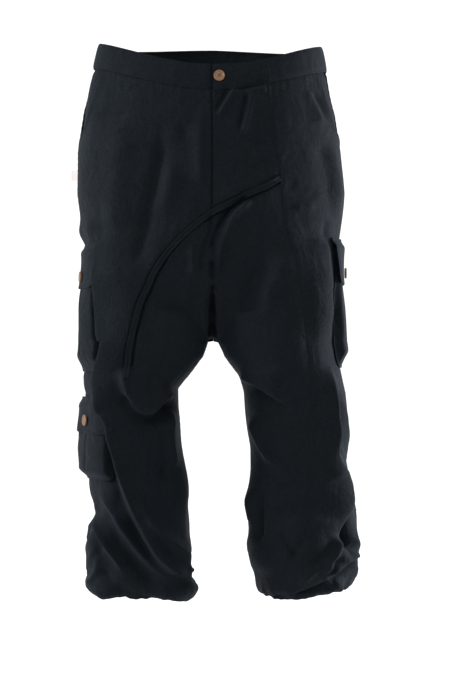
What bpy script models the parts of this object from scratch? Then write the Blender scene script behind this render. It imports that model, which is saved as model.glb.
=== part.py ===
"""Low-crotch cargo harem trousers, as worn: hollow cloth shells on one pair of leg surfaces.

X runs to the wearer's left, the front faces -Y and +Z is up. The origin lies in the middle of
the waist opening, level with the top of the waistband's middle at the sides. Sizes are in
millimetres and become metres when a mesh is made.
"""

import math

import bmesh
import bpy

MILLIMETRE = 0.001

# Driving sizes of the whole garment.
WAIST_TOP = 24.0
BAND_HEIGHT = 43.0
BAND_WALL = 2.8
CLOTH_WALL = 2.0
SEAM_GAP = 0.4
CENTRE_X = 4.0
FRONT_DIP = 50.0
BACK_RISE = 12.0
DIP_FADE_HEIGHT = -330.0
LEFT_SIDE_DROP = 5.0

# The rise curve: the centre seams run down and inwards to the low crotch.
CROTCH_HEIGHT = -486.0
FRONT_RISE_TOP = -380.0
BACK_RISE_TOP = -410.0
SPLIT_BLEND_TOP = -290.0
SPLIT_BLEND_END = -392.0

# The leg ends: cloth hangs over the ankle, rolls under and is gathered into a casing.
ROLL_TOP = -872.0
ANKLE_RADIUS = 47.0
CASING_HEIGHT = 14.0
CASING_WALL = 2.6
CASING_CLEARANCE = 0.8
CASING_GATHERS = 14
CASING_GATHER_DEPTH = 1.0

ROW_STEP = 29.0
KNEE_HEIGHT = -650.0
CROTCH_ROW_DROPS = (8.0, 20.0, 36.0, 56.0, 78.0, 100.0)

# Outlines of each half at rising depth below the waist. "outer" and "inner" are X, "middle" is
# the Y of the widest point, "square" is 2 for an ellipse and more for a boxier section.
RIGHT_SECTIONS = (
    {"height": 24, "outer": -194, "inner": 4, "front": -134, "back": 128, "middle": 2, "square": 2.3},
    {"height": -20, "outer": -200, "inner": 4, "front": -139, "back": 132, "middle": 2, "square": 2.3},
    {"height": -89, "outer": -220, "inner": 4, "front": -142, "back": 144, "middle": 4, "square": 2.3},
    {"height": -158, "outer": -228, "inner": 4, "front": -140, "back": 152, "middle": 6, "square": 2.4},
    {"height": -230, "outer": -227, "inner": 4, "front": -138, "back": 154, "middle": 6, "square": 2.5},
    {"height": -306, "outer": -217, "inner": 2, "front": -136, "back": 150, "middle": 6, "square": 2.6},
    {"height": -392, "outer": -209, "inner": -2, "front": -132, "back": 142, "middle": 5, "square": 2.8},
    {"height": -440, "outer": -208, "inner": -4, "front": -129, "back": 136, "middle": 4, "square": 2.8},
    {"height": -486, "outer": -210, "inner": -5, "front": -126, "back": 130, "middle": 3, "square": 2.8},
    {"height": -509, "outer": -213, "inner": -12, "front": -124, "back": 128, "middle": 3, "square": 2.8},
    {"height": -544, "outer": -219, "inner": -39, "front": -121, "back": 124, "middle": 2, "square": 2.8},
    {"height": -566, "outer": -219, "inner": -56, "front": -118, "back": 121, "middle": 2, "square": 2.7},
    {"height": -600, "outer": -214, "inner": -54, "front": -108, "back": 116, "middle": 3, "square": 2.7},
    {"height": -651, "outer": -211, "inner": -49, "front": -101, "back": 109, "middle": 4, "square": 2.7},
    {"height": -700, "outer": -212, "inner": -43, "front": -98, "back": 104, "middle": 5, "square": 2.6},
    {"height": -750, "outer": -211, "inner": -36, "front": -96, "back": 101, "middle": 6, "square": 2.6},
    {"height": -781, "outer": -203, "inner": -35, "front": -95, "back": 100, "middle": 6, "square": 2.5},
    {"height": -831, "outer": -216, "inner": -35, "front": -94, "back": 102, "middle": 6, "square": 2.5},
    {"height": -872, "outer": -219, "inner": -44, "front": -92, "back": 102, "middle": 6, "square": 2.5},
    {"height": -930, "outer": -213, "inner": -26, "front": -90, "back": 98, "middle": 6, "square": 2.5},
)
LEFT_SECTIONS = (
    {"height": 24, "outer": 190, "inner": 4, "front": -134, "back": 128, "middle": 2, "square": 2.3},
    {"height": -20, "outer": 199, "inner": 4, "front": -139, "back": 132, "middle": 2, "square": 2.3},
    {"height": -89, "outer": 216, "inner": 4, "front": -142, "back": 144, "middle": 4, "square": 2.3},
    {"height": -158, "outer": 223, "inner": 4, "front": -140, "back": 152, "middle": 6, "square": 2.4},
    {"height": -230, "outer": 227, "inner": 4, "front": -138, "back": 154, "middle": 6, "square": 2.5},
    {"height": -300, "outer": 222, "inner": 6, "front": -136, "back": 150, "middle": 8, "square": 2.6},
    {"height": -392, "outer": 213, "inner": 9, "front": -131, "back": 142, "middle": 8, "square": 2.8},
    {"height": -440, "outer": 211, "inner": 11, "front": -128, "back": 136, "middle": 8, "square": 2.8},
    {"height": -486, "outer": 212, "inner": 13, "front": -125, "back": 130, "middle": 6, "square": 2.8},
    {"height": -509, "outer": 216, "inner": 23, "front": -123, "back": 128, "middle": 6, "square": 2.8},
    {"height": -544, "outer": 224, "inner": 47, "front": -119, "back": 124, "middle": 5, "square": 2.8},
    {"height": -572, "outer": 230, "inner": 56, "front": -114, "back": 120, "middle": 5, "square": 2.7},
    {"height": -614, "outer": 233, "inner": 62, "front": -106, "back": 114, "middle": 5, "square": 2.7},
    {"height": -668, "outer": 233, "inner": 68, "front": -101, "back": 108, "middle": 6, "square": 2.7},
    {"height": -702, "outer": 235, "inner": 68, "front": -99, "back": 105, "middle": 8, "square": 2.6},
    {"height": -743, "outer": 242, "inner": 64, "front": -98, "back": 104, "middle": 12, "square": 2.5},
    {"height": -781, "outer": 247, "inner": 62, "front": -97, "back": 104, "middle": 16, "square": 2.4},
    {"height": -832, "outer": 257, "inner": 65, "front": -95, "back": 104, "middle": 20, "square": 2.4},
    {"height": -872, "outer": 255, "inner": 68, "front": -92, "back": 102, "middle": 20, "square": 2.4},
    {"height": -930, "outer": 240, "inner": 82, "front": -88, "back": 98, "middle": 18, "square": 2.4},
)

# The leg end below ROLL_TOP: "inset" goes from the leg's outline (0) to the casing (1).
# Squareness of the outer front corner of the right leg, which is turned a little outwards.
RIGHT_CORNER = (
    {"height": -230, "square": 2.5}, {"height": -310, "square": 2.1},
    {"height": -392, "square": 2.04}, {"height": -480, "square": 2.04},
    {"height": -566, "square": 1.85}, {"height": -620, "square": 1.75},
    {"height": -720, "square": 1.75}, {"height": -800, "square": 2.1},
    {"height": -872, "square": 2.5},
)

ROLL_SECTIONS = (
    {"run": 0, "inset": 0.0, "height": -872},
    {"run": 22, "inset": 0.0, "height": -893},
    {"run": 38, "inset": 0.03, "height": -908},
    {"run": 50, "inset": 0.10, "height": -917},
    {"run": 64, "inset": 0.24, "height": -922},
    {"run": 86, "inset": 0.50, "height": -920},
    {"run": 108, "inset": 0.77, "height": -909},
    {"run": 128, "inset": 1.0, "height": -893},
)
HEM_RISE = 17.0

LEG_END = ROLL_TOP - ROLL_SECTIONS[-1]["run"]

# Seams on the front, X against height, from top to bottom.
LAP_SEAM = (
    (116, -214), (91, -229), (65, -240), (35, -256), (12, -267), (-6, -278), (-29, -296),
    (-51, -316), (-74, -342), (-92, -370), (-104, -397), (-116, -423), (-124, -453),
    (-132, -491), (-137, -531), (-137, -542),
)
RIGHT_LEG_SEAM = (
    (-137, -542), (-134, -560), (-123, -605), (-118, -649), (-116, -686), (-114, -723), (-106, -760),
    (-92, -786), (-80, -816), (-74, -872),
)
PRINCESS_SEAM = (
    (93, -68), (99, -122), (107, -166), (114, -196), (116, -214), (118, -234), (123, -290),
    (140, -347), (152, -422), (158, -465), (164, -520), (167, -560), (162, -700), (156, -872),
)
RIGHT_HIP_OPENING = ((-184, -49), (-193, -72), (-203, -95), (-213, -120), (-222, -150))
LEFT_HIP_OPENING = ((186, -49), (192, -75), (199, -99), (208, -125), (218, -152))

# Large folds. Each runs along a path seen from one side; "height" is how far the cloth stands
# out (negative for a trough), "width" its half width, and "ends" how it fades at both ends.
FOLDS = (
    {"seen": "front", "height": 13, "width": 16, "ends": 60,
     "path": ((-182, -526), (-175, -552), (-167, -578), (-152, -672), (-140, -709), (-118, -767),
              (-88, -833), (-55, -885))},
    {"seen": "front", "height": 9, "width": 14, "ends": 40,
     "path": ((-176, -730), (-159, -760), (-127, -810), (-88, -858), (-52, -888))},
    {"seen": "front", "height": 7, "width": 13, "ends": 30,
     "path": ((-191, -776), (-164, -831), (-135, -870))},
    {"seen": "front", "height": -8, "width": 13, "ends": 40,
     "path": ((-190, -700), (-172, -770), (-140, -822), (-104, -862))},
    {"seen": "front", "height": 6, "width": 14, "ends": 30,
     "path": ((-114, -700), (-97, -776), (-69, -823))},
    {"seen": "front", "height": 20, "width": 27, "ends": 30,
     "path": ((-129, -545), (-110, -580), (-92, -592), (-72, -586), (-58, -552))},
    {"seen": "front", "height": -12, "width": 15, "ends": 22,
     "path": ((-130, -592), (-112, -614), (-90, -624), (-66, -616))},
    {"seen": "front", "height": 14, "width": 20, "ends": 25,
     "path": ((46, -525), (81, -543), (126, -570))},
    {"seen": "front", "height": -11, "width": 14, "ends": 25,
     "path": ((52, -562), (84, -580), (128, -602))},
    {"seen": "front", "height": -6, "width": 14, "ends": 30,
     "path": ((63, -250), (8, -318), (-1, -345))},
    {"seen": "front", "height": 7, "width": 15, "ends": 50,
     "path": ((207, -560), (208, -650), (220, -700), (226, -750), (222, -802), (186, -865))},
    {"seen": "front", "height": -12, "width": 12, "ends": 25,
     "path": ((236, -735), (240, -770), (236, -815))},
    {"seen": "front", "height": -7, "width": 13, "ends": 30,
     "path": ((88, -713), (81, -782), (75, -841))},
    {"seen": "front", "height": -7, "width": 12, "ends": 30,
     "path": ((112, -776), (156, -767), (205, -792))},
    {"seen": "front", "height": 8, "width": 13, "ends": 25,
     "path": ((250, -838), (215, -862), (180, -880))},
    {"seen": "back", "height": -8, "width": 20, "ends": 50,
     "path": ((-150, -220), (-80, -330), (-20, -410))},
    {"seen": "back", "height": -8, "width": 20, "ends": 50,
     "path": ((165, -240), (90, -345), (28, -415))},
    {"seen": "back", "height": 9, "width": 22, "ends": 50,
     "path": ((-60, -520), (-120, -600), (-190, -660))},
    {"seen": "back", "height": 8, "width": 22, "ends": 50,
     "path": ((70, -530), (125, -620), (205, -690))},
    {"seen": "back", "height": -8, "width": 16, "ends": 45,
     "path": ((-60, -640), (-110, -720), (-185, -760))},
    {"seen": "back", "height": 9, "width": 16, "ends": 40,
     "path": ((-50, -760), (-110, -810), (-195, -850))},
    {"seen": "back", "height": -8, "width": 16, "ends": 45,
     "path": ((78, -650), (140, -730), (225, -745))},
    {"seen": "back", "height": 10, "width": 16, "ends": 40,
     "path": ((75, -800), (140, -840), (235, -820))},
)

# Cargo pockets on the outer legs: "turn" is the share of the way round from the centre front.
POCKETS = (
    {"name": "upper_right", "side": -1, "turn": 0.44, "top": -318, "width": 104, "flap": 76,
     "bottom": -536, "button_drop": 56, "tilt": -0.022, "lift": 0.9},
    {"name": "lower_right", "side": -1, "turn": 0.405, "top": -578, "width": 128, "flap": 60,
     "bottom": -718, "button_drop": 38, "tilt": 0.01, "lift": 1.1},
    {"name": "left", "side": 1, "turn": 0.484, "top": -310, "width": 136, "flap": 76,
     "bottom": -530, "button_drop": 56, "tilt": 0.00, "lift": 0.9},
)
POCKET_DEPTH = 15.0
POCKET_WALL = 1.8
POCKET_MOUTH_DEPTH = 5.0
POCKET_CORNER = 14.0
FLAP_WALL = 2.2
FLAP_CLEARANCE = 3.1
FLAP_CORNER = 16.0

LAP_WIDTH = 9.5
LAP_CENTRE_HEIGHT = -271.5
LAP_WALL = 1.8
LAP_LIFT = 0.8
UNDERLAP_WIDTH = 34.0
UNDER_DEPTH = 3.1
FACING_DEPTH = 4.0
FACING_TUCK = 12.0

BUTTON_RADIUS = 9.2
BUTTON_THICKNESS = 3.4
BUTTON_RIM = 1.9
BUTTON_DISH = 0.8
BUTTON_HOLE_RADIUS = 1.0
BUTTON_HOLE_OFFSET = 2.2
BUTTON_SEAT = 0.3

TAG_REACH = 11.0
TAG_HEIGHT = 18.0
TAG_WALL = 1.2
TAG_MIDDLE = -199.0

FINE_STEPS = 40


def blend(low, high, share):
    return low + (high - low) * share


def ease(share):
    share = min(max(share, 0.0), 1.0)
    return share * share * (3.0 - 2.0 * share)


def read_row(rows, key, value):
    """Return the interpolated row of a table that is sorted by falling (or rising) key."""
    falling = rows[0][key] > rows[-1][key]
    previous = rows[0]
    for row in rows[1:]:
        passed = value >= row[key] if falling else value <= row[key]
        if passed or row is rows[-1]:
            share = (value - previous[key]) / (row[key] - previous[key])
            share = min(max(share, 0.0), 1.0)
            return {name: blend(previous[name], row[name], share) for name in row}
        previous = row
    return dict(rows[-1])


def across_at(path, height):
    """X of a seam at a height."""
    for (x_high, z_high), (x_low, z_low) in zip(path, path[1:]):
        if height >= z_low:
            share = min(max((height - z_high) / (z_low - z_high), 0.0), 1.0)
            return blend(x_high, x_low, share)
    return path[-1][0]


def resample(points, count):
    """Points at even spacing along a flat path."""
    lengths = [0.0]
    for (x0, y0), (x1, y1) in zip(points, points[1:]):
        lengths.append(lengths[-1] + math.hypot(x1 - x0, y1 - y0))
    result = []
    segment = 0
    for step in range(count + 1):
        wanted = lengths[-1] * step / count
        while segment < len(points) - 2 and lengths[segment + 1] < wanted:
            segment += 1
        span = lengths[segment + 1] - lengths[segment]
        share = (wanted - lengths[segment]) / span if span > 1e-9 else 0.0
        share = min(max(share, 0.0), 1.0)
        (x0, y0), (x1, y1) = points[segment], points[segment + 1]
        result.append((blend(x0, x1, share), blend(y0, y1, share)))
    return result, lengths[-1]


def rise_reach(height, top):
    """Share of the depth that the centre seam still keeps at a height on the rise curve."""
    drop = (top - height) / (top - CROTCH_HEIGHT)
    if drop <= 0.0:
        return 1.0
    if drop >= 1.0:
        return 0.0
    return math.sqrt(1.0 - drop * drop)


def body_quarter(row, sign, depth, corner):
    """Quarter of the hip ring, from the centre line to the side."""
    half = abs(row["outer"] - CENTRE_X)
    points = []
    for step in range(FINE_STEPS + 1):
        angle = math.pi / 2 * step / FINE_STEPS
        power = 2.0 / blend(row["square"], corner, ease(step / FINE_STEPS))
        across = math.sin(angle) ** power
        along = math.cos(angle) ** power
        points.append((CENTRE_X + sign * half * across, row["middle"] + depth * along))
    return points


def leg_half(row, sign, depth, corner, reach, height):
    """Half of a leg ring, from the centre seam or inner leg round to the side."""
    inner = row["inner"]
    centre = (inner + row["outer"]) / 2.0
    half = abs(row["outer"] - inner) / 2.0
    power = 2.0 / row["square"]
    points = []
    start = 0.0
    if height > CROTCH_HEIGHT - 0.01:
        seam_y = row["middle"] + depth * reach * 0.92
        share = min(abs(seam_y - row["middle"]) / abs(depth), 0.995)
        wall_angle = math.asin(share ** (1.0 / power))
        wall_x = centre - sign * half * math.cos(wall_angle) ** power
        opening = abs(wall_x - CENTRE_X)
        share = min((abs(seam_y - row["middle"]) + 0.8 * opening) / abs(depth), 0.998)
        start = math.asin(share ** (1.0 / power))
        end_x = centre - sign * half * math.cos(start) ** power
        end_y = row["middle"] + depth * math.sin(start) ** power
        pull = 0.55 * abs(end_x - CENTRE_X)
        lean = math.hypot(end_x - CENTRE_X, end_y - seam_y)
        for step in range(8):
            t = step / 8.0
            ways = ((1 - t) ** 3, 3 * (1 - t) ** 2 * t, 3 * (1 - t) * t * t, t ** 3)
            handle_y = end_y - (end_y - seam_y) / max(lean, 0.001) * pull * 0.6
            xs = (CENTRE_X, CENTRE_X + sign * pull, end_x - sign * pull * 0.25, end_x)
            ys = (seam_y, seam_y, handle_y, end_y)
            points.append((sum(w * x for w, x in zip(ways, xs)),
                           sum(w * y for w, y in zip(ways, ys))))
    steps = FINE_STEPS * 2
    for step in range(steps + 1):
        angle = blend(start, math.pi, step / steps)
        cosine = math.cos(angle)
        power = 2.0 / blend(row["square"], corner, ease((angle - math.pi / 2) / (math.pi / 3)))
        across = math.copysign(abs(cosine) ** power, cosine)
        along = abs(math.sin(angle)) ** power
        points.append((centre - sign * half * across, row["middle"] + depth * along))
    return points


section_store = {}


def half_ring(sign, height):
    """Front and back halves of one side's ring as evenly spaced points."""
    key = (sign, round(height, 3))
    if key in section_store:
        return section_store[key]
    row = read_row(RIGHT_SECTIONS if sign < 0 else LEFT_SECTIONS, "height", height)
    split = ease((SPLIT_BLEND_TOP - height) / (SPLIT_BLEND_TOP - SPLIT_BLEND_END))
    halves = []
    for facing, top in (("front", FRONT_RISE_TOP), ("back", BACK_RISE_TOP)):
        depth = row[facing] - row["middle"]
        corner = row["square"]
        if sign < 0 and facing == "front":
            corner = read_row(RIGHT_CORNER, "height", height)["square"]
        count = FINE_STEPS * 2
        ring, _ = resample(body_quarter(row, sign, depth, corner), count)
        if split > 0.0:
            reach = rise_reach(height, top)
            leg, _ = resample(leg_half(row, sign, depth, corner, reach, height), count)
            ring = [(blend(a[0], b[0], split), blend(a[1], b[1], split))
                    for a, b in zip(ring, leg)]
        ring, length = resample(ring, count)
        halves.append((ring, length))
    section_store[key] = halves
    return halves


def ring_point(sign, turn, height):
    """X and Y on a side's ring; turn runs from the front seam (0) past the side (0.5) to 1."""
    halves = half_ring(sign, height)
    turn = min(max(turn, 0.0), 1.0)
    ring, _ = halves[0] if turn <= 0.5 else halves[1]
    way = turn * 2.0 if turn <= 0.5 else (1.0 - turn) * 2.0
    place = way * (len(ring) - 1)
    index = min(int(place), len(ring) - 2)
    share = place - index
    return (blend(ring[index][0], ring[index + 1][0], share),
            blend(ring[index][1], ring[index + 1][1], share))


def ring_length(sign, height):
    halves = half_ring(sign, max(height, ROLL_TOP))
    return halves[0][1], halves[1][1]


def ankle_centre(sign):
    return (-118.0, 6.0) if sign < 0 else (158.0, 8.0)


def smooth_point(sign, turn, height):
    """A point on the plain surface. Heights under ROLL_TOP count the run round the rolled end."""
    if height >= ROLL_TOP:
        x, y = ring_point(sign, turn, height)
        fade = ease((height - DIP_FADE_HEIGHT) / (-20.0 - DIP_FADE_HEIGHT))
        if turn <= 0.5:
            lift = -FRONT_DIP * (0.5 + 0.5 * math.cos(2.0 * math.pi * turn))
        else:
            lift = BACK_RISE * (0.5 - 0.5 * math.cos(2.0 * math.pi * (turn - 0.5)))
        if sign > 0:
            lift -= LEFT_SIDE_DROP * math.sin(math.pi * turn)
        return (x, y, height + lift * fade)
    row = read_row(ROLL_SECTIONS, "run", ROLL_TOP - height)
    edge_x, edge_y = ring_point(sign, turn, row["height"])
    middle_x, middle_y = ankle_centre(sign)
    angle = 2.0 * math.pi * turn
    ankle_x = middle_x - sign * ANKLE_RADIUS * math.cos(angle)
    ankle_y = middle_y - ANKLE_RADIUS * math.sin(angle)
    share = row["inset"]
    sag = 4.0 * math.sin(3.0 * angle + sign) * math.sin(math.pi * min(share + 0.1, 1.0))
    # The rolled end sits higher on the outer side than on the inner one.
    outward = 0.5 - 0.5 * math.cos(angle)
    sag += HEM_RISE * outward * ease((ROLL_TOP - height) / 40.0) * (1.0 - ease((share - 0.3) / 0.7))
    return (blend(edge_x, ankle_x, share), blend(edge_y, ankle_y, share), row["height"] + sag)


def subtract(a, b):
    return (a[0] - b[0], a[1] - b[1], a[2] - b[2])


def cross(a, b):
    return (a[1] * b[2] - a[2] * b[1], a[2] * b[0] - a[0] * b[2], a[0] * b[1] - a[1] * b[0])


def unit(a):
    length = math.sqrt(a[0] * a[0] + a[1] * a[1] + a[2] * a[2])
    return (a[0] / length, a[1] / length, a[2] / length)


def facing_normal(place, sign, turn, height):
    """Outward normal of a surface given by place(sign, turn, height)."""
    turn_step = 0.006
    height_step = 4.0
    low = max(turn - turn_step, 0.0)
    high = min(turn + turn_step, 1.0)
    round_way = subtract(place(sign, high, height), place(sign, low, height))
    lower = max(height - height_step, LEG_END)
    down_way = subtract(place(sign, turn, lower), place(sign, turn, height + height_step))
    normal = cross(down_way, round_way)
    if sign < 0:
        normal = (-normal[0], -normal[1], -normal[2])
    return unit(normal)


def path_distance(path, x, z):
    """Distance from a point to a path, and how far along the path the nearest place lies."""
    best = (1e9, 0.0)
    run = 0.0
    for (x0, z0), (x1, z1) in zip(path, path[1:]):
        length = math.hypot(x1 - x0, z1 - z0)
        share = ((x - x0) * (x1 - x0) + (z - z0) * (z1 - z0)) / (length * length)
        share = min(max(share, 0.0), 1.0)
        gap = math.hypot(x - blend(x0, x1, share), z - blend(z0, z1, share))
        if gap < best[0]:
            best = (gap, run + share * length)
        run += length
    return best[0], best[1], run


def fold_height(point, normal):
    """How far the large folds push the cloth out at a point."""
    total = 0.0
    for fold in FOLDS:
        look = -normal[1] if fold["seen"] == "front" else normal[1]
        weight = ease((look + 0.15) / 0.4)
        if weight <= 0.0:
            continue
        gap, run, length = path_distance(fold["path"], point[0], point[2])
        if gap > fold["width"] * 3.0:
            continue
        ends = ease(run / fold["ends"]) * ease((length - run) / fold["ends"])
        ends = max(ends, 0.0)
        total += fold["height"] * weight * ends * math.exp(-(gap / fold["width"]) ** 2)
    return total


cloth_store = {}


def cloth_point(sign, turn, height):
    """A point on the folded outer face of the cloth."""
    key = (sign, round(turn, 6), round(height, 4))
    if key not in cloth_store:
        point = smooth_point(sign, turn, height)
        normal = facing_normal(smooth_point, sign, turn, height)
        lift = fold_height(point, normal)
        cloth_store[key] = tuple(p + n * lift for p, n in zip(point, normal))
    return cloth_store[key]


def cloth_frame(sign, turn, height):
    return cloth_point(sign, turn, height), facing_normal(cloth_point, sign, turn, height)


def front_turn(sign, x, height):
    """Share of the way round at which the front of a ring passes an X."""
    low, high = 0.0, 0.5
    for _ in range(26):
        middle = (low + high) / 2.0
        if sign * (ring_point(sign, middle, height)[0] - x) < 0.0:
            low = middle
        else:
            high = middle
    return low


def nominal_height(sign, turn, real_height):
    """The ring height whose point lies at a real height."""
    height = real_height
    for _ in range(12):
        height += real_height - smooth_point(sign, turn, height)[2]
    return height


def front_place(x, real_height):
    """Side, turn and ring height of a place on the front, given its X and real height."""
    sign = -1 if x < CENTRE_X else 1
    height = real_height
    turn = 0.0
    for _ in range(5):
        turn = front_turn(sign, x, height)
        height = nominal_height(sign, turn, real_height)
    return sign, turn, height


def seam_turn(path, sign, height):
    """Turn at which a front seam, given as X against real height, crosses a ring."""
    turn = 0.2
    for _ in range(6):
        real_height = smooth_point(sign, turn, height)[2]
        turn = front_turn(sign, across_at(path, real_height), height)
    return turn


def row_heights(top, bottom, exact):
    """Ring heights between two ends; closer on the rise curve and round the leg end."""
    fixed = [FRONT_RISE_TOP]
    for step in range(1, 7):
        angle = math.pi / 2 * step / 6
        fixed.append(FRONT_RISE_TOP - (FRONT_RISE_TOP - CROTCH_HEIGHT) * math.sin(angle))
    fixed += [CROTCH_HEIGHT - drop for drop in CROTCH_ROW_DROPS]
    start = fixed[-1]
    steps = int((start - ROLL_TOP) / ROW_STEP)
    for step in range(1, steps + 1):
        fixed.append(blend(start, ROLL_TOP, step / steps))
    for row in ROLL_SECTIONS[1:]:
        fixed.append(ROLL_TOP - row["run"])
    upper = []
    count = int((-20.0 - FRONT_RISE_TOP) / ROW_STEP)
    for step in range(count):
        upper.append(blend(-20.0, FRONT_RISE_TOP, step / count))
    kept = [top, bottom] + exact
    for height in upper + fixed:
        if bottom < height < top and min(abs(height - other) for other in kept) > 7.0:
            kept.append(height)
    return sorted(kept, reverse=True)


def make_material(name, colour, roughness):
    material = bpy.data.materials.new(name)
    material.use_nodes = True
    shader = material.node_tree.nodes["Principled BSDF"]
    shader.inputs["Base Color"].default_value = (*colour, 1.0)
    shader.inputs["Roughness"].default_value = roughness
    shader.inputs["Metallic"].default_value = 0.0
    return material


def finish_object(name, mesh, material):
    mesh.materials.append(material)
    mesh.shade_smooth()
    mesh.set_sharp_from_angle(angle=math.radians(50.0))
    item = bpy.data.objects.new(name, mesh)
    collection.objects.link(item)
    return item


def shell_from_grid(name, outer, inner, material, round_closed=False):
    """Close a wall between an outer and an inner grid of points given in millimetres."""
    rows = len(outer)
    columns = len(outer[0])
    work = bmesh.new()
    out_verts = [[work.verts.new([c * MILLIMETRE for c in p]) for p in row] for row in outer]
    in_verts = [[work.verts.new([c * MILLIMETRE for c in p]) for p in row] for row in inner]
    last = columns if round_closed else columns - 1
    for r in range(rows - 1):
        for c in range(last):
            d = (c + 1) % columns
            falling = (out_verts[r][c].co - out_verts[r + 1][d].co).length
            rising = (out_verts[r + 1][c].co - out_verts[r][d].co).length
            corners = ((r, c), (r + 1, c), (r + 1, d), (r, d))
            # Both faces are split along the same diagonal, so that a twisted wall keeps its width.
            if falling > rising:
                corners = corners[1:] + corners[:1]
            a, b, e, f = [out_verts[i][j] for i, j in corners]
            work.faces.new((a, b, e))
            work.faces.new((a, e, f))
            a, b, e, f = [in_verts[i][j] for i, j in corners]
            work.faces.new((e, b, a))
            work.faces.new((f, e, a))
    for c in range(last):
        d = (c + 1) % columns
        work.faces.new((out_verts[0][c], out_verts[0][d], in_verts[0][d], in_verts[0][c]))
        work.faces.new((out_verts[-1][d], out_verts[-1][c], in_verts[-1][c], in_verts[-1][d]))
    if not round_closed:
        for r in range(rows - 1):
            work.faces.new((out_verts[r + 1][0], out_verts[r][0], in_verts[r][0], in_verts[r + 1][0]))
            work.faces.new((out_verts[r][-1], out_verts[r + 1][-1], in_verts[r + 1][-1], in_verts[r][-1]))
    bmesh.ops.recalc_face_normals(work, faces=work.faces)
    mesh = bpy.data.meshes.new(name)
    work.to_mesh(mesh)
    work.free()
    return finish_object(name, mesh, material)


def shell_on_cloth(name, places, lift, wall, material):
    """A wall over a grid of (side, turn, ring height) places; lift may vary by row and column."""
    outer = []
    inner = []
    for r, row in enumerate(places):
        outer_row = []
        inner_row = []
        for c, (sign, turn, height) in enumerate(row):
            point, normal = cloth_frame(sign, turn, height)
            raised = lift(r, c) if callable(lift) else lift
            outer_row.append(tuple(p + n * raised for p, n in zip(point, normal)))
            inner_row.append(tuple(p + n * (raised - wall) for p, n in zip(point, normal)))
        outer.append(outer_row)
        inner.append(inner_row)
    return shell_from_grid(name, outer, inner, material)


def rows_panel(sign, heights, left_turns, right_turns, columns, gap_size=SEAM_GAP):
    """Grid of places between two seams, with level rows and a seam gap on both sides."""
    grid = []
    for height, left, right in zip(heights, left_turns, right_turns):
        front, back = ring_length(sign, height)
        length = 2.0 * (front if (left + right) / 2.0 < 0.5 else back)
        gap = gap_size / 2.0 / length
        start = left + gap
        end = max(right - gap, start + 2.0 / length)
        grid.append([(sign, blend(start, end, c / columns), height) for c in range(columns + 1)])
    return grid


bpy.context.preferences.edit.use_global_undo = False
for leftover in list(bpy.data.objects):
    bpy.data.objects.remove(leftover, do_unlink=True)
collection = bpy.data.collections.new("harem_pants")
bpy.context.scene.collection.children.link(collection)

NAVY = (0.012, 0.015, 0.021)
COCONUT = (0.42, 0.25, 0.13)
TAG_WHITE = (0.78, 0.72, 0.70)


def cloth_material(name):
    return make_material(name, NAVY, 0.85)


panel_top = WAIST_TOP - BAND_HEIGHT - SEAM_GAP


def above_knee(row_list):
    """Ring heights down to the knee, where a long panel is split into two nodes."""
    return [h for h in row_list if h > KNEE_HEIGHT + 7.0] + [KNEE_HEIGHT + SEAM_GAP / 2.0]


def below_knee(row_list):
    return [KNEE_HEIGHT - SEAM_GAP / 2.0] + [h for h in row_list if h < KNEE_HEIGHT - 7.0]


# Right front: fly edge and lapped seam, then the leg seam, out to the hip opening and side seam.
lap_centre = front_place(CENTRE_X, LAP_CENTRE_HEIGHT)[2]
lap_start = lap_centre - 7.0
right_seam = ((CENTRE_X, LAP_CENTRE_HEIGHT),)
right_seam += tuple(p for p in LAP_SEAM if p[0] < CENTRE_X) + RIGHT_LEG_SEAM[1:]


def hip_opening(path, sign):
    """Turns of the slanted pocket opening at its ring heights; it ends in the side seam."""
    places = [front_place(x, z) for x, z in path]
    table = [{"height": height, "turn": turn} for _, turn, height in places]
    table[-1]["turn"] = 0.5
    return table


def opening_turn(table, height):
    return read_row(table, "height", height)["turn"] if height > table[-1]["height"] else 0.5


right_opening = hip_opening(RIGHT_HIP_OPENING, -1)
left_opening = hip_opening(LEFT_HIP_OPENING, 1)
right_marks = [row["height"] for row in right_opening[1:]]
left_marks = [row["height"] for row in left_opening[1:]]
heights = row_heights(panel_top, LEG_END, right_marks + [lap_centre, lap_start])
front_edge = [0.0 if h >= lap_centre else seam_turn(right_seam, -1, h) for h in heights]
right_edge = [opening_turn(right_opening, h) for h in heights]
shell_on_cloth("front_right", rows_panel(-1, heights, front_edge, right_edge, 10), 0.0,
               CLOTH_WALL, cloth_material("front_right"))

# Right crotch and inner leg front, under the lapped seam.
crotch_heights = [h for h in heights if h <= lap_start]
for name, part_heights in (("crotch_front_right", above_knee(crotch_heights)),
                           ("inner_leg_front_right", below_knee(crotch_heights))):
    crotch_seam = [seam_turn(right_seam, -1, h) for h in part_heights]
    crotch_places = rows_panel(-1, part_heights, [0.0] * len(part_heights), crotch_seam, 8, 1.6)
    shell_on_cloth(name, crotch_places, 0.0, CLOTH_WALL, cloth_material(name))

# Left fronts: fly panel above the lapped seam, crotch panel below it, side panel beyond.
lap_left = [front_place(x, z) for x, z in LAP_SEAM if x > CENTRE_X] + [(1, 0.0, lap_centre)]


def princess_turn(height):
    return seam_turn(PRINCESS_SEAM, 1, height)


lap_top = lap_left[0][2]
fly_columns = 6


def lap_height(share):
    """Ring height of the lapped seam at a share of the way from the centre to the princess seam."""
    turn = blend(0.0, princess_turn(lap_top), share)
    table = [{"turn": t, "height": h} for _, t, h in reversed(lap_left)]
    return read_row(table, "turn", turn)["height"]


def place_between(share, height, gap_share=1.0):
    """A place between the centre seam and the princess seam, clear of both."""
    gap = gap_share * SEAM_GAP / 2.0 / (2.0 * ring_length(1, height)[0])
    return (1, blend(gap, princess_turn(height) - gap, share), height)


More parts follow.
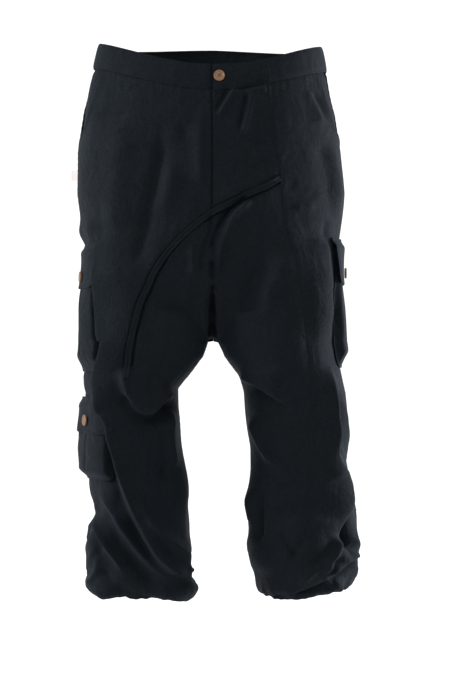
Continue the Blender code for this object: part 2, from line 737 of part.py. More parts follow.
left_heights = row_heights(panel_top, LEG_END, left_marks + [lap_top, lap_centre])
above_lap = [h for h in left_heights if h >= lap_top]
fly_grid = []
for r, side_height in enumerate(above_lap):
    down = r / (len(above_lap) - 1)
    row = []
    for c in range(fly_columns + 1):
        share = c / fly_columns
        centre_height = blend(panel_top, lap_centre, down)
        height = blend(centre_height, side_height, share)
        height += down * (lap_height(share) - blend(lap_centre, lap_top, share) + SEAM_GAP / 2.0)
        row.append(place_between(share, height))
    fly_grid.append(row)
shell_on_cloth("front_left_fly", fly_grid, 0.0, CLOTH_WALL, cloth_material("front_left_fly"))

side_left = [princess_turn(h) for h in left_heights]
side_right = [opening_turn(left_opening, h) for h in left_heights]
shell_on_cloth("front_left_side", rows_panel(1, left_heights, side_left, side_right, 6), 0.0,
               CLOTH_WALL, cloth_material("front_left_side"))

under_heights = [h for h in above_knee(left_heights) if h <= lap_top]
level_from = len([h for h in under_heights if h > SPLIT_BLEND_END])
crotch_grid = []
for r, side_height in enumerate(under_heights):
    rest = max(1.0 - r / level_from, 0.0)
    row = []
    for c in range(fly_columns + 1):
        share = c / fly_columns
        centre_height = blend(under_heights[level_from], lap_centre, rest) if rest else side_height
        height = blend(centre_height, side_height, share)
        height += rest * (lap_height(share) - blend(lap_centre, lap_top, share) - SEAM_GAP / 2.0)
        row.append(place_between(share, height))
    crotch_grid.append(row)
shell_on_cloth("crotch_front_left", crotch_grid, 0.0, CLOTH_WALL,
               cloth_material("crotch_front_left"))
inner_leg_grid = []
for height in below_knee(left_heights):
    inner_leg_grid.append([place_between(c / fly_columns, height) for c in range(fly_columns + 1)])
shell_on_cloth("inner_leg_front_left", inner_leg_grid, 0.0, CLOTH_WALL,
               cloth_material("inner_leg_front_left"))

# Backs, from the side seams to the centre back and the inner legs.
for name, sign, part_heights in (("back_right", -1, above_knee(heights)),
                                 ("back_right_leg", -1, below_knee(heights)),
                                 ("back_left", 1, above_knee(heights)),
                                 ("back_left_leg", 1, below_knee(heights))):
    rows = len(part_heights)
    shell_on_cloth(name, rows_panel(sign, part_heights, [0.5] * rows, [1.0] * rows, 10),
                   0.0, CLOTH_WALL, cloth_material(name))

# Facings that show in the hip pocket openings, set just under the fronts.
for name, sign, rows in (("hip_facing_right", -1, right_opening),
                         ("hip_facing_left", 1, left_opening)):
    facing_end = rows[-1]["height"] - 12.0
    facing_heights = [blend(panel_top - 1.0, facing_end, step / 6) for step in range(7)]
    facing_grid = []
    for height in facing_heights:
        length = 2.0 * ring_length(sign, height)[0]
        start = min(opening_turn(rows, height), 0.47) - FACING_TUCK / length
        end = 0.5 - 2.0 * SEAM_GAP / length
        facing_grid.append([(sign, blend(start, end, c / 4), height) for c in range(5)])
    shell_on_cloth(name, facing_grid, -FACING_DEPTH, CLOTH_WALL, cloth_material(name))

# Waistband: fronts to the side seams, and the back. The left front laps over the right one.
band_rows = 3


def band_grid(sections, top, bottom):
    grid = []
    for r in range(band_rows + 1):
        height = blend(top, bottom, r / band_rows)
        row = []
        for sign, start, end, columns in sections:
            skip = 1 if row else 0
            for c in range(skip, columns + 1):
                row.append((sign, blend(start, end, c / columns), height))
        grid.append(row)
    return grid


band_bottom = WAIST_TOP - BAND_HEIGHT
band_length = 2.0 * ring_length(1, 0.0)[0]
band_gap = SEAM_GAP / 2.0 / band_length
shell_on_cloth("waistband_front_left",
               band_grid(((1, band_gap, 0.5 - band_gap, 12),), WAIST_TOP, band_bottom),
               0.5, BAND_WALL, cloth_material("waistband_front_left"))


def band_lift(row, column):
    """The right band steps down under the left one past the centre."""
    return 0.5 if column > 2 else -2.75


under_turn = UNDERLAP_WIDTH / band_length
under_sections = ((1, under_turn, 0.0, 2), (-1, 0.0, 0.5 - band_gap, 13))
right_band = band_grid(under_sections, WAIST_TOP, band_bottom)
for row in right_band:
    sign, turn, height = row[2]
    row[2] = (-1, 0.6 / band_length, height)
    row[3] = (-1, 5.0 / band_length, height)
shell_on_cloth("waistband_front_right", right_band, band_lift, BAND_WALL,
               cloth_material("waistband_front_right"))
back_sections = ((-1, 0.5 + band_gap, 1.0, 12), (1, 1.0, 0.5 + band_gap, 12))
shell_on_cloth("waistband_back", band_grid(back_sections, WAIST_TOP, band_bottom), 0.5, BAND_WALL,
               cloth_material("waistband_back"))

# Underlap behind the fly.
lap_heights = [blend(panel_top - 1.0, lap_centre + 22.0, step / 7) for step in range(8)]
underlap = []
for height in lap_heights:
    length = 2.0 * ring_length(1, height)[0]
    underlap.append([(-1, 8.0 / length, height), (1, 2.0 / length, height),
                     (1, blend(2.0, UNDERLAP_WIDTH, 0.5) / length, height),
                     (1, UNDERLAP_WIDTH / length, height)])
shell_on_cloth("fly_underlap", underlap, -UNDER_DEPTH, CLOTH_WALL, cloth_material("fly_underlap"))


# The lapped seam: a flat raised strip along its path, on both fronts.
def path_stations(path, spacing):
    total = path_distance(path, path[0][0], path[0][1])[2]
    count = int(total / spacing)
    points, _ = resample(list(path), count)
    stations = []
    for index, (x, z) in enumerate(points):
        x0, z0 = points[max(index - 1, 0)]
        x1, z1 = points[min(index + 1, len(points) - 1)]
        length = math.hypot(x1 - x0, z1 - z0)
        stations.append((x, z, (x1 - x0) / length, (z1 - z0) / length))
    return stations


def front_frame(x, z):
    """Point and normal on the folded front at an X and a real height."""
    sign, turn, height = front_place(x, z)
    return cloth_frame(sign, turn, height)


strip_outer = []
strip_inner = []
for x, z, way_x, way_z in path_stations(LAP_SEAM, 11.0):
    outer_row = []
    inner_row = []
    for share in (-0.5, -0.4, 0.0, 0.4, 0.5):
        side_x = x - way_z * share * LAP_WIDTH
        side_z = z + way_x * share * LAP_WIDTH
        point, normal = front_frame(side_x, side_z)
        top = LAP_LIFT + LAP_WALL - (0.9 if abs(share) == 0.5 else 0.0)
        outer_row.append(tuple(p + n * top for p, n in zip(point, normal)))
        inner_row.append(tuple(p + n * LAP_LIFT for p, n in zip(point, normal)))
    strip_outer.append(outer_row)
    strip_inner.append(inner_row)
shell_from_grid("front_lap_seam", strip_outer, strip_inner, cloth_material("front_lap_seam"))

# Cargo pockets: a bellows pocket open at the top, a flap over it and a button.
button_seats = []
for pocket in POCKETS:
    sign = pocket["side"]
    middle_height = (pocket["top"] + pocket["bottom"]) / 2.0
    columns = (-0.5, -0.47, -0.42, -0.22, -0.03, 0.0, 0.03, 0.22, 0.42, 0.47, 0.5)
    rows = (0.0, 0.13, 0.26, 0.39, 0.52, 0.65, 0.77, 0.87, 0.94, 0.97, 1.0)
    mouth = pocket["top"] - 16.0

    def depth_at(height):
        """The bellows are shallow at the mouth and deepest below the middle."""
        way = (mouth - height) / (mouth - pocket["bottom"])
        return blend(POCKET_MOUTH_DEPTH, POCKET_DEPTH, ease(way / 0.6))

    def corner_cut(rest, radius):
        if rest >= radius:
            return 0.0
        return radius - math.sqrt(radius ** 2 - (radius - rest) ** 2)

    def place_on(across, drop, top, bottom, width):
        height = blend(top, bottom, drop)
        length = ring_length(sign, height)
        reach = across * width
        turn = pocket["turn"]
        turn += pocket["tilt"] * (pocket["top"] - height) / (pocket["top"] - pocket["bottom"])
        turn += reach / (2.0 * (length[0] if reach < 0.0 else length[1]))
        return (sign, turn, height)

    def pocket_lift(row, column):
        edge = abs(columns[column])
        side = ease((0.5 - edge) / 0.08)
        foot = ease((1.0 - rows[row]) / 0.14)
        depth = depth_at(blend(mouth, pocket["bottom"], rows[row]))
        height = pocket["lift"] + POCKET_WALL + depth * min(side, foot) + 0.4 * (1.0 - foot)
        if edge < 0.01:
            height -= 2.5 * foot
        return height

    grid = []
    for drop in rows:
        rest = (1.0 - drop) * (mouth - pocket["bottom"])
        width = pocket["width"] - 2.0 * corner_cut(rest, POCKET_CORNER)
        grid.append([place_on(a, drop, mouth, pocket["bottom"], width) for a in columns])
    name = "cargo_pocket_" + pocket["name"]
    shell_on_cloth(name, grid, pocket_lift, POCKET_WALL, cloth_material(name))

    flap_columns = (-0.5, -0.47, -0.38, -0.2, 0.0, 0.2, 0.38, 0.47, 0.5)
    flap_rows = (0.0, 0.10, 0.2, 0.35, 0.6, 0.8, 0.92, 1.0)
    flap_width = pocket["width"] + 8.0
    flap_end = pocket["top"] - pocket["flap"]

    def flap_height(drop):
        head = ease((drop - 2.0) / 13.0)
        depth = depth_at(pocket["top"] - drop)
        return pocket["lift"] + FLAP_WALL + 0.8 + (depth + FLAP_CLEARANCE - 0.8) * head

    def flap_lift(row, column):
        return flap_height(flap_rows[row] * pocket["flap"])

    def flap_point(across, drop):
        place = place_on(across / flap_width, drop / pocket["flap"], pocket["top"], flap_end,
                         flap_width)
        point, normal = cloth_frame(*place)
        return tuple(p + n * flap_height(drop) for p, n in zip(point, normal))

    grid = []
    for drop in flap_rows:
        rest = (1.0 - drop) * pocket["flap"]
        width = flap_width - 2.0 * corner_cut(rest, FLAP_CORNER)
        grid.append([place_on(a, drop, pocket["top"], flap_end, width) for a in flap_columns])
    name = "cargo_flap_" + pocket["name"]
    shell_on_cloth(name, grid, flap_lift, FLAP_WALL, cloth_material(name))
    drop = pocket["button_drop"]
    across_way = subtract(flap_point(BUTTON_RADIUS, drop), flap_point(-BUTTON_RADIUS, drop))
    down_way = subtract(flap_point(0.0, drop + BUTTON_RADIUS), flap_point(0.0, drop - BUTTON_RADIUS))
    normal = unit(cross(down_way, across_way))
    if normal[0] * sign < 0.0:
        normal = tuple(-n for n in normal)
    button_seats.append(("button_" + pocket["name"], flap_point(0.0, drop), normal, 0.6))

button_point, button_normal = front_frame(15.0, -47.0)
button_seats.append(("button_waist", button_point, button_normal, 0.5 + BUTTON_SEAT))


# Buttons: a turned disc with a rim, a dished face and four sewing holes.
def turned_button(name):
    profile = bpy.data.meshes.new(name + "_profile")
    rim = BUTTON_RADIUS - BUTTON_RIM
    outline = ((0.0, BUTTON_THICKNESS - BUTTON_DISH), (rim - 0.8, BUTTON_THICKNESS - BUTTON_DISH),
               (rim, BUTTON_THICKNESS), (BUTTON_RADIUS - 0.5, BUTTON_THICKNESS),
               (BUTTON_RADIUS, BUTTON_THICKNESS - 0.6), (BUTTON_RADIUS, 0.9),
               (BUTTON_RADIUS - 1.2, 0.0), (0.0, 0.0))
    work = bmesh.new()
    corners = [work.verts.new((r * MILLIMETRE, 0.0, z * MILLIMETRE)) for r, z in outline]
    for first, second in zip(corners, corners[1:]):
        work.edges.new((first, second))
    work.to_mesh(profile)
    work.free()
    item = bpy.data.objects.new(name, profile)
    collection.objects.link(item)
    screw = item.modifiers.new("turn", "SCREW")
    screw.axis = "Z"
    screw.steps = 16
    screw.render_steps = 16
    screw.use_merge_vertices = True
    screw.merge_threshold = 0.00001
    profile.materials.append(make_material(name, COCONUT, 0.45))
    return item


cutters = bpy.data.collections.new("cutters")
bpy.context.scene.collection.children.link(cutters)
for name, point, normal, raised in button_seats:
    button = turned_button(name)
    work = bmesh.new()
    for quarter in range(4):
        angle = math.pi / 4 + quarter * math.pi / 2
        made = bmesh.ops.create_cone(work, cap_ends=True, segments=6,
                                     radius1=BUTTON_HOLE_RADIUS * MILLIMETRE,
                                     radius2=BUTTON_HOLE_RADIUS * MILLIMETRE,
                                     depth=BUTTON_THICKNESS * 3.0 * MILLIMETRE)
        shift = (BUTTON_HOLE_OFFSET * math.cos(angle) * MILLIMETRE,
                 BUTTON_HOLE_OFFSET * math.sin(angle) * MILLIMETRE, 0.0)
        bmesh.ops.translate(work, verts=made["verts"], vec=shift)
    holes_mesh = bpy.data.meshes.new(name + "_holes")
    work.to_mesh(holes_mesh)
    work.free()
    holes = bpy.data.objects.new(name + "_holes", holes_mesh)
    cutters.objects.link(holes)
    holes.hide_render = True
    holes.display_type = "WIRE"
    cut = button.modifiers.new("sewing holes", "BOOLEAN")
    cut.operation = "DIFFERENCE"
    cut.object = holes
    turn_x = math.atan2(math.hypot(normal[0], normal[1]), normal[2])
    turn_z = math.atan2(normal[0], -normal[1])
    for item in (button, holes):
        item.location = [(p + n * raised) * MILLIMETRE for p, n in zip(point, normal)]
        item.rotation_euler = (turn_x, 0.0, turn_z)

# Gathered casings round the ankles, hanging inside the rolled leg ends.
for name, sign in (("ankle_casing_right", -1), ("ankle_casing_left", 1)):
    middle_x, middle_y = ankle_centre(sign)
    segments = CASING_GATHERS * 4
    top = ROLL_SECTIONS[-1]["height"] - 0.6
    outer = []
    inner = []
    for step in range(3):
        height = top - CASING_HEIGHT * step / 2
        outer_row = []
        inner_row = []
        for c in range(segments):
            angle = 2.0 * math.pi * c / segments
            wave = CASING_GATHER_DEPTH * math.cos(CASING_GATHERS * angle)
            radius = ANKLE_RADIUS - CASING_GATHER_DEPTH - CASING_CLEARANCE + wave
            outer_row.append((middle_x + radius * math.cos(angle),
                              middle_y + radius * math.sin(angle), height))
            radius -= CASING_WALL
            inner_row.append((middle_x + radius * math.cos(angle),
                              middle_y + radius * math.sin(angle), height))
        outer.append(outer_row)
        inner.append(inner_row)
    shell_from_grid(name, outer, inner, cloth_material(name), round_closed=True)

# Blank tab in the right side seam.
tag_turn = 0.5
tag_height = nominal_height(-1, tag_turn, TAG_MIDDLE)
tag_point, tag_normal = cloth_frame(-1, tag_turn, tag_height)
work = bmesh.new()
bmesh.ops.create_cube(work, size=1.0)
bmesh.ops.scale(work, verts=work.verts, vec=(TAG_REACH * MILLIMETRE, TAG_WALL * MILLIMETRE,
                                             TAG_HEIGHT * MILLIMETRE))
tag_mesh = bpy.data.meshes.new("side_tag")
work.to_mesh(tag_mesh)
work.free()
tag = bpy.data.objects.new("side_tag", tag_mesh)
collection.objects.link(tag)
tag_mesh.materials.append(make_material("side_tag", TAG_WHITE, 0.6))
tag.location = ((tag_point[0] - TAG_REACH / 2.0 - 0.5) * MILLIMETRE, tag_point[1] * MILLIMETRE,
                tag_point[2] * MILLIMETRE)
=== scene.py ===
import math

import bmesh
import bpy
import numpy as np
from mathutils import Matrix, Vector


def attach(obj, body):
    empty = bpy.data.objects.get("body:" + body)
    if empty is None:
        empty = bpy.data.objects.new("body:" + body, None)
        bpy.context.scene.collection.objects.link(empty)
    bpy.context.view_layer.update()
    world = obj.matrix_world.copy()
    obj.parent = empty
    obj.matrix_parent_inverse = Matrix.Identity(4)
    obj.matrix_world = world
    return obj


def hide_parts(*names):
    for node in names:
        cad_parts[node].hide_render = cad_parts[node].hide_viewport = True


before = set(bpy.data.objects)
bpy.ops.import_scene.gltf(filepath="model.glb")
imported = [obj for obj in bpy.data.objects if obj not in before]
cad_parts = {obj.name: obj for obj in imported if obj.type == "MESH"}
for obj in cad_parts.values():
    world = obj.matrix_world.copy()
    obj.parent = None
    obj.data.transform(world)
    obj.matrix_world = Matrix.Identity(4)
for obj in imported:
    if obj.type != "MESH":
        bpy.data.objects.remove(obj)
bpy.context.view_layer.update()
print("stage: frame loaded")

mm = 0.001
scene = bpy.context.scene

# The garment's own surface, in millimetres: heights run down from the waist, turns run from the
# centre front or inner leg (0) round the side (0.5) to the centre back or inner leg (1).
garment = {
    "waistTop": 24.0,  # top edge of the band at the sides
    "bandHeight": 43.0,
    "centreX": 4.0,
    "frontDip": 50.0,  # how far the waist dips at the front, and rises at the back
    "backRise": 12.0,
    "dipFade": (-20.0, -330.0),
    "leftDrop": 5.0,
    "crotch": -486.0,
    "riseTops": (-380.0, -410.0),  # where the front and back panels begin to turn in to the crotch
    "splitTop": -290.0,
    "splitEnd": -392.0,
    "rollTop": -872.0,  # the leg rolls in to the ankle below this
    "hemRise": 17.0,
    "hemFade": 40.0,
    "hemWave": 4.0,
    "ankleRadius": 47.0,
    "ankles": {-1: (-118.0, 6.0), 1: (158.0, 8.0)},
    "seamGap": 0.16,
    "wall": 1.5,
    "gridStep": 2.9,  # mesh spacing on the fronts, and on the plainer backs
    "backStep": 3.8,
    "turnSteps": 240,
    "feelTurn": 0.008,  # how far to each side a normal is measured
    "feelHeight": 4.5,
    "shutWithin": 9.0,  # nearer to the centre seam than this, cloth can't move sideways
    "shutAbove": 3.0,
}
g = garment

# height, outer x, inner x, front y, back y, widest y, squareness
sections = {
    -1: np.array((
        (40, -190, 4, -132, 126, 2, 2.3),
        (24, -194, 4, -134, 128, 2, 2.3),
        (-20, -200, 4, -139, 132, 2, 2.3),
        (-89, -220, 4, -142, 144, 4, 2.3),
        (-158, -228, 4, -140, 152, 6, 2.4),
        (-230, -227, 4, -138, 154, 6, 2.5),
        (-306, -217, 2, -136, 150, 6, 2.6),
        (-392, -209, -2, -132, 142, 5, 2.8),
        (-440, -208, -4, -129, 136, 4, 2.8),
        (-486, -210, -5, -126, 130, 3, 2.8),
        (-509, -213, -12, -124, 128, 3, 2.8),
        (-544, -219, -39, -121, 124, 2, 2.8),
        (-566, -219, -56, -118, 121, 2, 2.7),
        (-600, -214, -54, -108, 116, 3, 2.7),
        (-651, -211, -49, -101, 109, 4, 2.7),
        (-700, -212, -43, -98, 104, 5, 2.6),
        (-750, -211, -36, -96, 101, 6, 2.6),
        (-781, -203, -35, -95, 100, 6, 2.5),
        (-831, -216, -35, -94, 102, 6, 2.5),
        (-872, -219, -44, -92, 102, 6, 2.5),
        (-930, -213, -26, -90, 98, 6, 2.5),
    ), float),
    1: np.array((
        (40, 187, 4, -132, 126, 2, 2.3),
        (24, 190, 4, -134, 128, 2, 2.3),
        (-20, 199, 4, -139, 132, 2, 2.3),
        (-89, 216, 4, -142, 144, 4, 2.3),
        (-158, 223, 4, -140, 152, 6, 2.4),
        (-230, 227, 4, -138, 154, 6, 2.5),
        (-300, 222, 6, -136, 150, 8, 2.6),
        (-392, 213, 9, -131, 142, 8, 2.8),
        (-440, 211, 11, -128, 136, 8, 2.8),
        (-486, 212, 13, -125, 130, 6, 2.8),
        (-509, 216, 23, -123, 128, 6, 2.8),
        (-544, 224, 47, -119, 124, 5, 2.8),
        (-572, 230, 56, -114, 120, 5, 2.7),
        (-614, 233, 62, -106, 114, 5, 2.7),
        (-668, 233, 68, -101, 108, 6, 2.7),
        (-702, 235, 68, -99, 105, 8, 2.6),
        (-743, 242, 64, -98, 104, 12, 2.5),
        (-781, 247, 62, -97, 104, 16, 2.4),
        (-832, 257, 65, -95, 104, 20, 2.4),
        (-872, 255, 68, -92, 102, 20, 2.4),
        (-930, 240, 82, -88, 98, 18, 2.4),
    ), float),
}
# height, squareness of the outer front corner of the right leg, which is turned outwards
rightCorner = np.array((
    (-230, 2.5), (-310, 2.1), (-392, 2.04), (-480, 2.04), (-566, 1.85), (-620, 1.75),
    (-720, 1.75), (-800, 2.1), (-872, 2.5),
), float)
# run below the roll's top, share of the way in to the ankle, height
rollRows = np.array((
    (0, 0.0, -872), (22, 0.0, -893), (38, 0.03, -908), (50, 0.10, -917),
    (64, 0.24, -922), (86, 0.50, -920), (108, 0.77, -909), (128, 1.0, -893),
), float)
legEnd = g["rollTop"] - rollRows[-1, 0]

lapSeam = (
    (116, -214), (91, -229), (65, -240), (35, -256), (12, -267), (-6, -278), (-29, -296),
    (-51, -316), (-74, -342), (-92, -370), (-104, -397), (-116, -423), (-124, -453),
    (-132, -491), (-137, -531), (-137, -542),
)
rightLegSeam = (
    (-137, -542), (-134, -560), (-123, -605), (-118, -649), (-116, -686), (-114, -723),
    (-106, -760), (-92, -786), (-80, -816), (-74, -872),
)
princessSeam = (
    (93, -68), (99, -122), (107, -166), (114, -196), (116, -214), (118, -234), (123, -290),
    (140, -347), (152, -422), (158, -465), (164, -520), (167, -560), (162, -700), (156, -872),
)
hipOpenings = {
    -1: ((-184, -49), (-193, -72), (-203, -95), (-213, -120), (-222, -150)),
    1: ((186, -49), (192, -75), (199, -99), (208, -125), (218, -152)),
}

